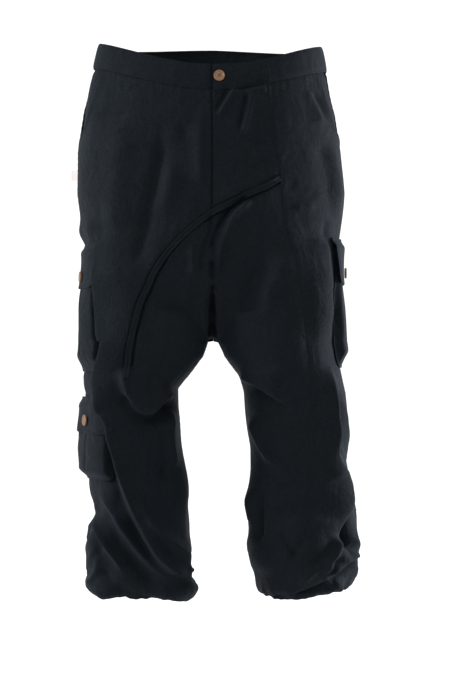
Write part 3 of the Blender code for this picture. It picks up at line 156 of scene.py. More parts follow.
# Folds, by the side they are seen from. A row has the height out (or in), the widths left and right of
# the way it runs, the fade at its ends, its crispness (2 round, 1 sharp), and points across and down.
folds = (
    ("front", (
        # long ridge from hip to inner hem
        (16, 30, 6, 45, 1.15, ((-179, -537), (-169, -590), (-162, -643), (-150, -695), (-134, -748),
            (-115, -793), (-91, -839), (-62, -877), (-41, -896))),
        (5, 4, 4, 40, 1.1, ((-177, -559), (-169, -619), (-158, -676), (-143, -731), (-120, -791),
            (-95, -839), (-65, -877), (-43, -894))),
        (-7, 6, 9, 45, 1.3, ((-184, -576), (-181, -605), (-172, -662), (-157, -719), (-136, -774),
            (-112, -822), (-88, -863))),
        # leg creases, right
        (13, 12, 6, 40, 1.1, ((-189, -736), (-169, -762), (-134, -815), (-108, -848), (-81, -879),
            (-60, -898))),
        (-8, 8, 10, 36, 1.3, ((-170, -791), (-139, -839), (-110, -875), (-88, -901))),
        (10, 12, 5, 30, 1.1, ((-206, -760), (-194, -791), (-182, -812), (-160, -845), (-139, -882))),
        (4, 4, 4, 25, 1.1, ((-205, -771), (-194, -791), (-182, -812), (-160, -845), (-146, -869))),
        (6, 5, 8, 30, 1.1, ((-119, -734), (-112, -762), (-93, -798), (-71, -838), (-53, -860),
            (-41, -886), (-34, -905))),
        (6, 8, 8, 22, 1.2, ((-217, -875), (-200, -846), (-189, -814))),
        (5, 6, 6, 18, 1.2, ((-212, -903), (-196, -870), (-186, -839))),
        (-7, 7, 7, 25, 1.3, ((-198, -757), (-194, -808), (-184, -853))),
        (8, 10, 6, 30, 1.1, ((-108, -757), (-96, -788), (-74, -817), (-50, -839), (-40, -848))),
        (-6, 6, 8, 25, 1.2, ((-105, -795), (-81, -831), (-57, -855), (-41, -865))),
        (6, 8, 7, 25, 1.2, ((-88, -853), (-60, -870), (-41, -881), (-31, -903))),
        (-5, 10, 10, 22, 1.4, ((-191, -860), (-155, -900), (-88, -918))),
        # pouch over the inner leg
        (18, 30, 6, 18, 1.3, ((-146, -526), (-136, -564), (-120, -593), (-101, -595), (-83, -580),
            (-64, -564))),
        (-15, 7, 12, 14, 1.3, ((-143, -564), (-126, -600), (-105, -612), (-83, -605), (-60, -583))),
        (4, 4, 4, 16, 1.1, ((-112, -593), (-91, -585), (-74, -571), (-64, -562))),
        (-2.5, 4, 4, 20, 1.3, ((-77, -509), (-105, -578))),
        (7, 6, 10, 20, 1.2, ((-62, -588), (-65, -612), (-64, -654), (-58, -705))),
        (-6, 7, 7, 20, 1.3, ((-76, -619), (-77, -671), (-71, -722))),
        (-6, 18, 14, 50, 1.6, ((-77, -654), (-74, -791))),
        (5, 10, 12, 40, 1.4, ((-110, -628), (-110, -688), (-105, -740))),
        # hips and thighs, right
        (-9, 14, 10, 60, 1.5, ((-76, -114), (-86, -193), (-96, -241), (-110, -310), (-126, -370))),
        (-3, 6, 6, 25, 1.5, ((-52, -114), (-34, -162))),
        (7, 16, 16, 50, 1.6, ((-55, -172), (-72, -241), (-83, -292))),
        (-3, 10, 14, 40, 1.6, ((-182, -241), (-186, -378))),
        (7, 24, 20, 70, 1.7, ((-148, -103), (-155, -275), (-165, -413))),
        (-5, 14, 6, 30, 1.4, ((-76, -358), (-100, -413), (-114, -475))),
        (6, 16, 16, 40, 1.5, ((-28, -344), (-41, -413), (-52, -490))),
        (-2.2, 5, 5, 16, 1.4, ((-191, -103), (-160, -110), (-132, -105))),
        (1.8, 5, 5, 16, 1.4, ((-194, -124), (-163, -134), (-129, -126))),
        (-2, 4, 4, 16, 1.4, ((-198, -189), (-170, -206), (-153, -203))),
        # creases under the lapped seam
        (-12, 3, 3.5, 14, 1.15, ((64, -243), (34, -265), (15, -294), (5, -316), (2, -337))),
        (7, 5, 4, 20, 1.15, ((71, -249), (43, -273), (28, -303), (17, -337), (12, -382))),
        (-4, 3.5, 3, 18, 1.15, ((31, -310), (24, -335), (19, -373))),
        (-5.5, 3, 3, 12, 1.15, ((0, -268), (0, -306), (-10, -327), (-19, -372))),
        (-6, 2.8, 2.8, 9, 1.15, ((3, -346), (3, -384))),
        (4, 4, 4, 12, 1.2, ((-5, -347), (-7, -378))),
        (6, 6, 6, 16, 1.2, ((-24, -303), (-21, -318))),
        (6, 7, 6, 20, 1.2, ((-31, -320), (-28, -382))),
        (-12, 3.4, 3.4, 12, 1.6, ((3, -385), (3, -490))),
        (-20, 6.6, 6.6, 14, 2.6, ((3, -402), (3, -490))),
        (5.5, 10, 5, 30, 1.3, ((14, -392), (17, -485))),
        (5.5, 5, 10, 30, 1.3, ((-9, -396), (-14, -485))),
        (4, 8, 11, 50, 1.5, ((-15, -89), (-17, -172), (-14, -251))),
        # fly and left hip
        (-5.5, 2.6, 3, 14, 1.1, ((34, -62), (21, -84), (7, -110))),
        (5, 5, 3, 14, 1.15, ((43, -65), (26, -91), (12, -115))),
        (-6, 2.5, 3, 18, 1.1, ((62, -69), (55, -107), (46, -143))),
        (4.5, 5, 4, 16, 1.15, ((69, -72), (62, -110), (53, -148))),
        (2.6, 3, 4, 10, 1.3, ((7, -60), (34, -55))),
        (-4.5, 3, 4, 14, 1.2, ((45, -67), (67, -64), (95, -55))),
        (-3, 4, 4, 14, 1.3, ((71, -57), (95, -52))),
        (2.6, 5, 5, 14, 1.3, ((55, -76), (101, -62))),
        (-3, 8, 8, 30, 1.5, ((88, -86), (81, -155), (88, -206))),
        (-2, 4, 4, 16, 1.4, ((50, -151), (81, -158), (98, -153))),
        (2, 5, 4, 16, 1.4, ((43, -172), (71, -177), (98, -172))),
        (-2.2, 4, 4, 16, 1.4, ((36, -193), (67, -198), (95, -186))),
        (-9, 16, 16, 45, 1.5, ((103, -310), (79, -365), (52, -447))),
        (8, 18, 14, 45, 1.5, ((138, -330), (103, -389), (83, -451))),
        (-3, 4, 4, 24, 1.3, ((103, -322), (146, -316), (182, -318))),
        (-2.4, 4, 4, 16, 1.3, ((134, -241), (186, -237))),
        (2.6, 4, 5, 16, 1.3, ((134, -263), (182, -258))),
        (2.8, 4, 5, 16, 1.3, ((93, -384), (144, -382))),
        (-2.4, 4, 4, 16, 1.3, ((98, -413), (139, -408))),
        (-4, 4, 6, 14, 1.3, ((170, -64), (184, -89), (194, -115))),
        (4, 4, 8, 16, 1.3, ((160, -62), (175, -93), (187, -126))),
        (-4, 10, 10, 40, 1.5, ((182, -138), (196, -206), (210, -292))),
        (5, 8, 10, 40, 1.4, ((200, -138), (213, -224), (217, -292))),
        (-4, 6, 6, 18, 1.4, ((196, -275), (193, -330))),
        (-3, 12, 12, 60, 1.6, ((153, -344), (163, -464), (167, -568))),
        (9, 5, 26, 36, 1.3, ((191, -303), (194, -396), (194, -490))),
        # sag over the left knee
        (10, 18, 5, 18, 1.25, ((46, -533), (69, -549), (98, -562), (120, -578), (131, -588))),
        (4, 4, 4, 14, 1.1, ((50, -535), (71, -550), (100, -564), (129, -587))),
        (-11, 6, 16, 18, 1.3, ((60, -557), (88, -576), (119, -592), (136, -602))),
        (5, 9, 5, 20, 1.3, ((64, -535), (101, -537), (131, -526))),
        # leg creases, left
        (13, 6, 20, 40, 1.1, ((196, -519), (200, -578), (205, -626), (208, -673), (224, -719),
            (229, -757), (227, -808))),
        (4, 4, 4, 30, 1.1, ((198, -533), (203, -585), (208, -636), (212, -679))),
        (-8, 7, 5, 30, 1.25, ((217, -559), (224, -647), (227, -688))),
        (-16, 8, 4, 22, 1.15, ((241, -731), (239, -774), (239, -817), (246, -841))),
        (7, 9, 6, 20, 1.3, ((246, -757), (253, -800), (253, -834))),
        (13, 5, 14, 14, 1.1, ((255, -841), (227, -860), (196, -879))),
        (10, 4, 14, 16, 1.1, ((227, -812), (213, -836), (200, -857), (189, -877))),
        (-6, 5, 4, 9, 1.15, ((212, -846), (205, -860), (198, -877))),
        (-11, 6, 8, 14, 1.25, ((194, -882), (218, -877), (251, -858))),
        (6, 9, 9, 10, 1.5, ((234, -826), (218, -855))),
        (-5, 8, 7, 20, 1.3, ((163, -863), (198, -831), (220, -815))),
        (8, 9, 6, 25, 1.2, ((146, -894), (170, -872), (191, -853))),
        (-4, 5, 5, 18, 1.2, ((115, -800), (146, -850))),
        (-4, 5, 5, 18, 1.2, ((160, -808), (132, -855))),
        (8, 9, 7, 30, 1.15, ((62, -605), (79, -640), (98, -676), (110, -702))),
        (3.5, 4, 4, 24, 1.1, ((64, -609), (79, -640), (98, -676), (108, -697))),
        (-12, 4, 4, 22, 1.15, ((89, -726), (84, -774), (79, -827))),
        (6, 6, 6, 25, 1.25, ((77, -729), (72, -765), (69, -808))),
        (6, 10, 9, 35, 1.35, ((115, -784), (174, -783), (218, -795))),
        (-4, 7, 7, 30, 1.4, ((88, -771), (146, -765), (196, -757))),
        (-2.8, 5, 5, 16, 1.3, ((105, -728), (160, -722))),
        (4, 6, 5, 16, 1.3, ((179, -722), (224, -702))),
        (-7, 8, 8, 22, 1.4, ((91, -918), (136, -915))),
        (-9, 5, 5, 20, 1.2, ((132, -917), (170, -901), (206, -882))),
        (9, 7, 7, 8, 1.5, ((206, -889), (224, -901))),
        (-7, 5, 5, 8, 1.3, ((200, -889), (191, -908))),
    )),
    # hidden sides, in the same manner
    ("back", (
        (-7, 18, 18, 50, 1.6, ((-150, -220), (-80, -330), (-20, -410))),
        (-7, 18, 18, 50, 1.6, ((165, -240), (90, -345), (28, -415))),
        (6, 14, 20, 45, 1.4, ((-120, -215), (-62, -320), (-12, -395))),
        (6, 20, 14, 45, 1.4, ((135, -230), (70, -330), (22, -400))),
        (9, 20, 12, 50, 1.3, ((-60, -520), (-120, -600), (-190, -660))),
        (9, 12, 20, 50, 1.3, ((70, -530), (125, -620), (205, -690))),
        (-8, 14, 14, 45, 1.4, ((-60, -560), (-115, -640), (-185, -700))),
        (-8, 14, 14, 45, 1.4, ((72, -575), (130, -660), (215, -730))),
        (8, 12, 10, 40, 1.2, ((-52, -640), (-110, -730), (-196, -775))),
        (10, 10, 12, 40, 1.2, ((76, -655), (140, -745), (232, -780))),
        (-7, 10, 10, 35, 1.3, ((-48, -700), (-105, -790), (-180, -835))),
        (-7, 10, 10, 35, 1.3, ((80, -720), (150, -810), (240, -850))),
        (10, 10, 13, 30, 1.2, ((-45, -770), (-105, -835), (-190, -880))),
        (10, 13, 10, 30, 1.2, ((85, -790), (150, -855), (235, -890))),
        (5, 10, 8, 25, 1.3, ((-170, -780), (-140, -850), (-95, -895))),
        (5, 8, 10, 25, 1.3, ((200, -800), (170, -860), (130, -900))),
        (-3, 8, 8, 35, 1.4, ((-60, -60), (-72, -120), (-68, -175))),
        (-3, 8, 8, 35, 1.4, ((70, -55), (80, -125), (74, -180))),
        (3, 10, 8, 30, 1.4, ((-20, -120), (-75, -135), (-130, -120))),
        (3, 8, 10, 30, 1.4, ((25, -130), (80, -148), (140, -128))),
        (-9, 6, 6, 30, 1.2, ((4, -410), (4, -486))),
        (4, 12, 6, 30, 1.4, ((14, -400), (16, -470))),
        (4, 6, 12, 30, 1.4, ((-6, -400), (-8, -470))),
    )),
    ("right", (
        (-2.5, 9, 9, 30, 1.4, ((-80, -560), (-20, -575), (60, -560))),
        (4.5, 12, 9, 35, 1.2, ((-70, -735), (10, -790), (80, -850))),
        (-3.5, 9, 9, 30, 1.3, ((-60, -775), (10, -830), (60, -880))),
        (4, 9, 11, 30, 1.2, ((75, -740), (20, -815), (-40, -885))),
        (2.5, 8, 8, 25, 1.3, ((-50, -850), (-10, -885), (30, -905))),
        (-2, 12, 12, 50, 1.5, ((40, -90), (55, -190), (40, -290))),
        (2, 14, 14, 50, 1.5, ((80, -120), (88, -230), (70, -320))),
        # dents and swellings of the outline
        (-10, 24, 24, 45, 1.8, ((-130, -768), (-40, -770), (60, -778))),
        (-9, 22, 22, 40, 1.8, ((-120, -866), (-20, -870), (60, -866))),
        (11, 13, 13, 30, 1.6, ((-110, -902), (-30, -905), (60, -903))),
        (8, 18, 18, 30, 1.8, ((-90, -296), (-20, -297), (50, -296))),
    )),
    ("left", (
        (-9, 34, 34, 50, 1.8, ((130, -835), (0, -838), (-120, -835))),
        (-15, 9, 9, 24, 1.2, ((-48, -722), (-50, -775), (-62, -815), (-60, -850))),
        (5, 12, 16, 24, 1.4, ((-30, -850), (-20, -890), (10, -905))),
    )),
    ("innerRight", (
        (-4, 45, 45, 60, 1.8, ((-110, -655), (0, -655), (110, -655))),
        (-5, 26, 26, 60, 1.8, ((-110, -765), (0, -765), (110, -765))),
        (7, 16, 16, 60, 1.8, ((-110, -850), (0, -850), (110, -850))),
        (12, 13, 13, 40, 1.6, ((-100, -902), (0, -906), (100, -902))),
    )),
    ("innerLeft", (
        (6, 24, 24, 60, 1.8, ((-110, -755), (0, -755), (110, -755))),
        (-7, 20, 20, 60, 1.8, ((-110, -880), (0, -885), (110, -880))),
        (3, 9, 12, 30, 1.3, ((-60, -790), (0, -830), (60, -850))),
    )),
    ("left", (
        (4.5, 10, 13, 45, 1.2, ((-75, -560), (-20, -640), (60, -700))),
        (-3, 10, 10, 40, 1.3, ((-70, -610), (-15, -690), (65, -750))),
        (4.5, 12, 10, 35, 1.2, ((75, -700), (15, -780), (-50, -860))),
        (-4, 9, 9, 30, 1.3, ((60, -770), (10, -840), (-20, -890))),
        (4, 9, 9, 30, 1.2, ((-60, -790), (0, -850), (70, -890))),
        (-2, 12, 12, 50, 1.5, ((40, -90), (55, -190), (40, -280))),
        (2, 14, 14, 50, 1.5, ((80, -120), (88, -230), (70, -310))),
    )),
)


def lerp(a, b, share):
    return a + (b - a) * share


def ease(share):
    share = np.clip(share, 0.0, 1.0)
    return share * share * (3.0 - 2.0 * share)


# 1 at distance 0 and nearly 0 at twice the width
def bell(distance, width):
    return np.exp(-(distance / width) ** 2)


# distance run along an axis of a grid or along a path, from 0
def runAlong(points, axis):
    steps = np.cumsum(np.linalg.norm(np.diff(points, axis=axis), axis=-1), axis=axis)
    return np.concatenate((np.zeros_like(np.take(steps, [0], axis)), steps), axis)


# every column of the values, read off at the wanted places of the run
def readAt(wanted, run, values):
    return np.stack([np.interp(wanted, run, column) for column in values.T], -1)


def evenPath(points, count):
    points = np.asarray(points, float)
    run = runAlong(points, 0)
    return readAt(np.linspace(0.0, run[-1], count), run, points), run[-1]


# a path rounded through its corners
def softPath(points, spacing):
    points = np.asarray(points, float)
    if len(points) < 3:
        return evenPath(points, max(int(np.linalg.norm(points[1] - points[0]) / spacing), 2))[0]
    ends = np.vstack((2 * points[0] - points[1], points, 2 * points[-1] - points[-2]))
    t = np.linspace(0.0, 1.0, 8, endpoint=False)[:, None]
    made = [0.5 * (2 * p1 + (p2 - p0) * t + (2 * p0 - 5 * p1 + 4 * p2 - p3) * t * t
                   + (3 * p1 - p0 - 3 * p2 + p3) * t ** 3)
            for p0, p1, p2, p3 in zip(ends, ends[1:], ends[2:], ends[3:])]
    made = np.vstack(made + [points[-1:]])
    length = np.linalg.norm(np.diff(made, axis=0), axis=1).sum()
    return evenPath(made, max(int(length / spacing), 3))[0]


def smoothDrop(value, top, bottom):
    return float(ease((top - value) / (top - bottom)))


# points round a quarter and a leg, how deep the crotch seam lies, and how the curve to it is pulled
ring = {"quarter": 61, "leg": 140, "seamIn": 0.92, "spread": 0.8, "pull": 0.55, "land": (0.25, 0.6)}


def riseReach(height, top):
    drop = (top - height) / (top - g["crotch"])
    return 1.0 if drop <= 0 else 0.0 if drop >= 1 else math.sqrt(1.0 - drop * drop)


# a quarter of the body's ring, from the centre to the side
def bodyQuarter(row, sign, depth, corner):
    angle = np.linspace(0.0, math.pi / 2, ring["quarter"])
    power = 2.0 / lerp(row[6], corner, ease(angle / (math.pi / 2)))
    half = abs(row[1] - g["centreX"])
    return np.stack((g["centreX"] + sign * half * np.sin(angle) ** power,
                     row[5] + depth * np.clip(np.cos(angle), 0, 1) ** power), -1)


# how squareness puts a share of the depth at an angle round the leg
def squareAngle(share, power, most):
    return math.asin(min(share, most) ** (1 / power))


# half of a leg's ring; above the crotch it leaves the centre seam on a short curve of its own
def legHalf(row, sign, depth, corner, reach, height):
    inner, outer, middle = row[2], row[1], row[5]
    centre, half, power = (inner + outer) / 2, abs(outer - inner) / 2, 2.0 / row[6]
    lead = np.zeros((0, 2))
    start = 0.0
    if height > g["crotch"] - 0.01:
        seamY = middle + depth * reach * ring["seamIn"]
        away = abs(seamY - middle)
        wallX = centre - sign * half * math.cos(squareAngle(away / abs(depth), power, 0.995)) ** power
        start = squareAngle((away + ring["spread"] * abs(wallX - g["centreX"])) / abs(depth), power, 0.998)
        endX = centre - sign * half * math.cos(start) ** power
        endY = middle + depth * math.sin(start) ** power
        pull = ring["pull"] * abs(endX - g["centreX"])
        lean = max(math.hypot(endX - g["centreX"], endY - seamY), 0.001)
        t = np.linspace(0.0, 1.0, 12, endpoint=False)[:, None]
        handles = np.array((
            (g["centreX"], seamY),
            (g["centreX"] + sign * pull, seamY),
            (endX - sign * pull * ring["land"][0], endY - (endY - seamY) / lean * pull * ring["land"][1]),
            (endX, endY)))
        lead = ((1 - t) ** 3 * handles[0] + 3 * (1 - t) ** 2 * t * handles[1]
                + 3 * (1 - t) * t * t * handles[2] + t ** 3 * handles[3])
    angle = np.linspace(start, math.pi, ring["leg"])
    cosine = np.cos(angle)
    power = 2.0 / lerp(row[6], corner, ease((angle - math.pi / 2) / (math.pi / 3)))
    curve = np.stack((centre - sign * half * np.copysign(np.abs(cosine) ** power, cosine),
                      middle + depth * np.abs(np.sin(angle)) ** power), -1)
    return np.vstack((lead, curve))


# front and back halves of one side's ring at a height, each with its length
def halfRing(sign, height):
    table = sections[sign]
    row = readAt(-height, -table[:, 0], table)
    split = smoothDrop(height, g["splitTop"], g["splitEnd"])
    count = g["turnSteps"] // 2 + 1
    made = []
    for column, top in zip((3, 4), g["riseTops"]):
        depth = row[column] - row[5]
        corner = row[6]
        if sign < 0 and column == 3:
            corner = float(np.interp(-height, -rightCorner[:, 0], rightCorner[:, 1]))
        half, length = evenPath(bodyQuarter(row, sign, depth, corner), count)
        if split > 0:
            leg, _ = evenPath(legHalf(row, sign, depth, corner, riseReach(height, top), height), count)
            half, length = evenPath(lerp(half, leg, split), count)
        made.append((half, length))
    return made


# points of the plain surface at one height, front seam to back seam
def wholeRow(sign, height):
    turn = np.linspace(0.0, 1.0, g["turnSteps"] + 1)
    real = height
    inset = 0.0
    if height < g["rollTop"]:
        run = g["rollTop"] - height
        inset = float(np.interp(run, rollRows[:, 0], rollRows[:, 1]))
        real = float(np.interp(run, rollRows[:, 0], rollRows[:, 2]))
    (front, frontLength), (back, backLength) = halfRing(sign, real)
    flat = np.vstack((front, back[::-1][1:]))
    if height >= g["rollTop"]:
        top, bottom = g["dipFade"]
        fade = float(ease((height - bottom) / (top - bottom)))
        lift = np.where(turn <= 0.5, -g["frontDip"] * (0.5 + 0.5 * np.cos(2 * math.pi * turn)),
                        g["backRise"] * (0.5 - 0.5 * np.cos(2 * math.pi * (turn - 0.5))))
        if sign > 0:
            lift = lift - g["leftDrop"] * np.sin(math.pi * turn)
        z = height + lift * fade
    else:
        angle = 2 * math.pi * turn
        ankleX, ankleY = g["ankles"][sign]
        ankle = np.stack((ankleX - sign * g["ankleRadius"] * np.cos(angle),
                          ankleY - g["ankleRadius"] * np.sin(angle)), -1)
        flat = lerp(flat, ankle, inset)
        begun = ease((g["rollTop"] - height) / g["hemFade"])
        rise = g["hemRise"] * float(begun * (1.0 - ease((inset - 0.3) / 0.7)))
        wave = g["hemWave"] * np.sin(3 * angle + sign) * math.sin(math.pi * min(inset + 0.1, 1.0))
        z = real + wave + rise * (0.5 - 0.5 * np.cos(angle))
    return np.column_stack((flat, np.broadcast_to(z, len(turn)))), frontLength, backLength


tableHeights = np.unique(np.concatenate((
    np.arange(g["waistTop"] + 14, -460, -3.0), np.arange(-460, -500, -1.0),
    np.arange(-500, legEnd, -3.0), (g["crotch"], legEnd))))[::-1]
surface = {}
for sign in (-1, 1):
    points, front, back = zip(*[wholeRow(sign, height) for height in tableHeights])
    surface[sign] = {"points": np.array(points), "front": np.array(front), "back": np.array(back)}


def plainPoint(sign, turn, height):
    points = surface[sign]["points"]
    steps = g["turnSteps"]
    turn, height = np.broadcast_arrays(np.clip(turn, 0, 1), np.clip(height, legEnd, tableHeights[0]))
    row = np.clip(np.searchsorted(-tableHeights, -height, side="right") - 1, 0, len(tableHeights) - 2)
    down = ((tableHeights[row] - height) / (tableHeights[row] - tableHeights[row + 1]))[..., None]
    place = turn * float(steps)
    column = np.clip(place.astype(int), 0, steps - 1)
    across = (place - column)[..., None]
    high = lerp(points[row, column], points[row, column + 1], across)
    low = lerp(points[row + 1, column], points[row + 1, column + 1], across)
    return lerp(high, low, down)


def plainNormal(sign, turn, height):
    byTurn, byHeight = g["feelTurn"], g["feelHeight"]
    roundWay = plainPoint(sign, turn + byTurn, height) - plainPoint(sign, turn - byTurn, height)
    downWay = plainPoint(sign, turn, height - byHeight) - plainPoint(sign, turn, height + byHeight)
    normal = np.cross(downWay, roundWay) * sign
    return normal / np.maximum(np.linalg.norm(normal, axis=-1, keepdims=True), 1e-9)


def ringLengths(sign, height):
    height = np.maximum(height, g["rollTop"])
    return (np.interp(-height, -tableHeights, surface[sign]["front"]),
            np.interp(-height, -tableHeights, surface[sign]["back"]))


# length in millimetres of one whole turn, measured on the front or the back half
def turnLength(sign, height, turn):
    front, back = ringLengths(sign, height)
    return 2.0 * np.where(turn < 0.5, front, back)


foldStyle = {
    "spacing": 7.0,  # between the points that a path is rounded with
    "reach": 3.4,  # in widths, past which a fold is not felt
    "top": (2.5, 1.58),  # how round the line of its top is
    "faceOn": 0.42,  # cloth turned further away takes less of a fold
    "uneven": ((0.2, 23.0), (0.1, 9.0)),  # share and spacing of its ups and downs
    "legsBelow": -620.0,  # folds that end below this are deeper by the next value
    "legsDeeper": 1.22,
}
softened = []
for side, rows in folds:
    for out, left, right, ends, crisp, path in rows:
        if side == "front" and path[-1][1] < foldStyle["legsBelow"]:
            out *= foldStyle["legsDeeper"]
        softened.append((side, out, left, right, ends, crisp, softPath(path, foldStyle["spacing"])))
# per side seen: axis across, axis looked along, its sign, and which half (0 for both)
sides = {"front": (0, 1, -1.0, 0), "back": (0, 1, 1.0, 0), "right": (1, 0, -1.0, -1), "left": (1, 0, 1.0, 1),
         "innerRight": (1, 0, 1.0, -1), "innerLeft": (1, 0, -1.0, 1)}


# smooth bump across a fold: wide or steep on either side of its line
def ridgeShape(distance, width, crisp, top):
    return np.exp(-((np.sqrt(distance ** 2 + top[0]) - top[1]) / width) ** crisp)


def foldLift(points, normals):
    flat = points.reshape(-1, 3)
    facing = normals.reshape(-1, 3)
    total = np.zeros(len(flat))
    for seen, out, left, right, ends, crisp, path in softened:
        across, axis, way, part = sides[seen]
        reach = max(left, right) * foldStyle["reach"]
        look = facing[:, axis] * way
        near = (look > 0.0) & (part * (flat[:, 0] - g["centreX"]) >= 0)
        for column, values in ((0, flat[:, across]), (1, flat[:, 2])):
            near &= (values > path[:, column].min() - reach) & (values < path[:, column].max() + reach)
        index = np.nonzero(near)[0]
        if not len(index):
            continue
        spot = flat[index][:, (across, 2)]
        starts, steps = path[:-1], np.diff(path, axis=0)
        lengths = np.hypot(steps[:, 0], steps[:, 1])
        runs = np.concatenate(([0.0], np.cumsum(lengths)))
        offset = spot[:, None] - starts[None]
        share = np.clip((offset * steps).sum(-1) / lengths ** 2, 0, 1)
        gap = np.hypot(*np.moveaxis(offset - share[..., None] * steps, -1, 0))
        best = gap.argmin(1)
        pick = np.arange(len(index))
        along = runs[best] + share[pick, best] * lengths[best]
        side = steps[best, 0] * offset[pick, best, 1] - steps[best, 1] * offset[pick, best, 0]
        width = lerp(right, left, 0.5 + 0.5 * np.tanh(side / np.maximum(lengths[best], 1e-6) / 2.0))
        fade = ease(along / ends) * ease((runs[-1] - along) / ends)
        weight = ease(look[index] / foldStyle["faceOn"])
        (slow, slowStep), (quick, quickStep) = foldStyle["uneven"]
        uneven = 1.0 + slow * np.sin(along / slowStep + out) + quick * np.sin(along / quickStep + 2.0 * out)
        ridge = ridgeShape(gap[pick, best], width, crisp, foldStyle["top"])
        total[index] += out * ridge * fade * weight * uneven
    return total.reshape(points.shape[:-1])


# slow uneven hang of soft cloth
hang = {"seed": 7, "waves": 14, "shortest": 55.0, "longest": 170.0, "height": 0.8}
dice = np.random.default_rng(hang["seed"])
waveWays = dice.normal(size=(hang["waves"], 3))
waveWays /= np.linalg.norm(waveWays, axis=1, keepdims=True)
waveLengths = dice.uniform(hang["shortest"], hang["longest"], hang["waves"])
wavePhases = dice.uniform(0, 6.28, hang["waves"])


def slack(points):
    total = 0.0
    for way, length, phase in zip(waveWays, waveLengths, wavePhases):
        total = total + np.sin(points @ way * 2 * math.pi / length + phase) * length / hang["longest"]
    return total * hang["height"]


# gathers of the hem: share and number round the leg of each ripple, bunched at some places
gathers = {"top": -884.0, "fade": 46.0, "height": 1.3, "even": 0.35, "counts": (13, 22, 37),
           "shares": (0.6, 0.4)}


def hemGathers(sign, turn, height):
    angle = 2 * math.pi * turn
    many, more, most = gathers["counts"]
    depth = ease((gathers["top"] - height) / gathers["fade"])
    bunch = gathers["even"] + (1.0 - gathers["even"]) * np.sin(1.5 * angle + 0.8 * sign) ** 2
    second, third = gathers["shares"]
    ripple = (np.sin(many * angle + 0.7 * sign + 1.4 * np.sin(2 * angle))
              + second * np.sin(more * angle + 2.1) + third * np.sin(most * angle + sign))
    return depth * ripple * bunch * gathers["height"]


# steep fold of the right front that stands along the front edge of the upper cargo pocket
edgeFold = {
    "height": 18.0,
    "steep": 5.0,
    "wide": 24.0,
    "crisp": 1.15,
    "top": (2.0, 1.41),
    "from": (-290.0, 50.0),  # height at each end and how far it fades
    "to": (-625.0, 60.0),
    "way": np.array(((-296, 0.352), (-330, 0.338), (-380, 0.333), (-430, 0.333), (-465, 0.337),
                     (-482, 0.343), (-530, 0.341), (-566, 0.326), (-600, 0.312))),  # height, turn
}


def pocketEdgeFold(turn, height):
    e = edgeFold
    arc = (turn - np.interp(-height, -e["way"][:, 0], e["way"][:, 1])) * 2.0 * ringLengths(-1, height)[0]
    width = lerp(e["wide"], e["steep"], 0.5 + 0.5 * np.tanh(arc / 2.0))
    begun = ease((e["from"][0] - height) / e["from"][1]) * ease((height - e["to"][0]) / e["to"][1])
    return e["height"] * ridgeShape(arc, width, e["crisp"], e["top"]) * begun


# short uneven puckers that hang from the waistband
puckers = {"right": 0.45, "left": 0.8, "reach": (22.0, 12.0, 8.0), "fine": (0.8, 2.1), "coarse": (0.7, 4.3)}


def bandGathers(sign, turn, height):
    arc = turn * 2.0 * ringLengths(sign, height)[0] * sign
    much = lerp(puckers["right"], puckers["left"], ease((0.3 - turn) / 0.1) if sign > 0 else 0.0)
    below = g["waistTop"] - g["bandHeight"] - height
    mean, slow, quick = puckers["reach"]
    reach = mean + slow * np.sin(arc / 13.0) + quick * np.sin(arc / 5.3 + 1.0)
    fade = np.exp(-(np.maximum(below, 0.0) / reach) ** 1.4) * ease(below / 3.0)
    patchy = ease(0.5 + 0.9 * np.sin(arc / 21.0 + 0.8) * np.sin(arc / 8.3))
    (fine, fineStep), (coarse, coarseStep) = puckers["fine"], puckers["coarse"]
    wave = fine * np.sin(arc / fineStep + 2.2 * np.sin(arc / 15.0)) + coarse * np.sin(arc / coarseStep + 1.0)
    return much * fade * patchy * wave


# a point of the finished cloth and the way it faces
def clothPoint(sign, turn, height, relief=0.0, folded=True):
    base = plainPoint(sign, turn, height)
    normal = plainNormal(sign, turn, height)
    lift = slack(base) + hemGathers(sign, turn, height) + relief
    if folded:
        lift = lift + (foldLift(base, normal) + bandGathers(sign, turn, height))
        if sign < 0:
            lift = lift + pocketEdgeFold(turn, height)
    shift = normal * lift[..., None]
    # cloth beside the centre seam moves straight in and out, so the seam stays shut
    joined = ease((base[..., 2] - g["crotch"] + g["shutAbove"]) / g["shutAbove"])
    apart = ease(np.abs(base[..., 0] - g["centreX"]) / g["shutWithin"])
    shift[..., 0] *= lerp(1.0, apart, joined)
    return base + shift, normal


# turn at which each ring's front passes an x
def frontTurn(sign, x, height):
    turns = np.linspace(0.0, 0.5, g["turnSteps"] // 2 + 1)
    rows = plainPoint(sign, turns[None, :], np.asarray(height, float)[:, None])[..., 0] * sign
    x = np.broadcast_to(np.asarray(x, float) * sign, len(rows))
    return np.array([np.interp(value, np.maximum.accumulate(row), turns) for value, row in zip(x, rows)])


def acrossAt(path, height):
    path = np.asarray(path, float)
    return np.interp(-np.asarray(height), -path[:, 1], path[:, 0])


def seamTurn(path, sign, heights):
    heights = np.asarray(heights, float)
    turn = np.full(len(heights), 0.2)
    for _ in range(6):
        real = plainPoint(sign, turn, heights)[..., 2]
        turn = frontTurn(sign, acrossAt(path, real), heights)
    return turn


def frontPlace(x, realHeight):
    sign = -1 if x < g["centreX"] else 1
    height = realHeight
    for _ in range(5):
        turn = frontTurn(sign, x, [height])[0]
        for _ in range(6):
            height += realHeight - plainPoint(sign, turn, height)[2]
    return sign, turn, float(height)


def frontPlaces(path):
    _, turns, heights = zip(*[frontPlace(x, z) for x, z in path])
    return np.array(turns), np.array(heights)


# a point on the finished front, from where it is seen
def frontPoint(x, z, relief):
    sign, turn, height = frontPlace(x, z)
    point, guide = clothPoint(sign, np.array([turn]), np.array([height]), relief)
    return point[0], guide[0]


print("stage: surface tables ready")


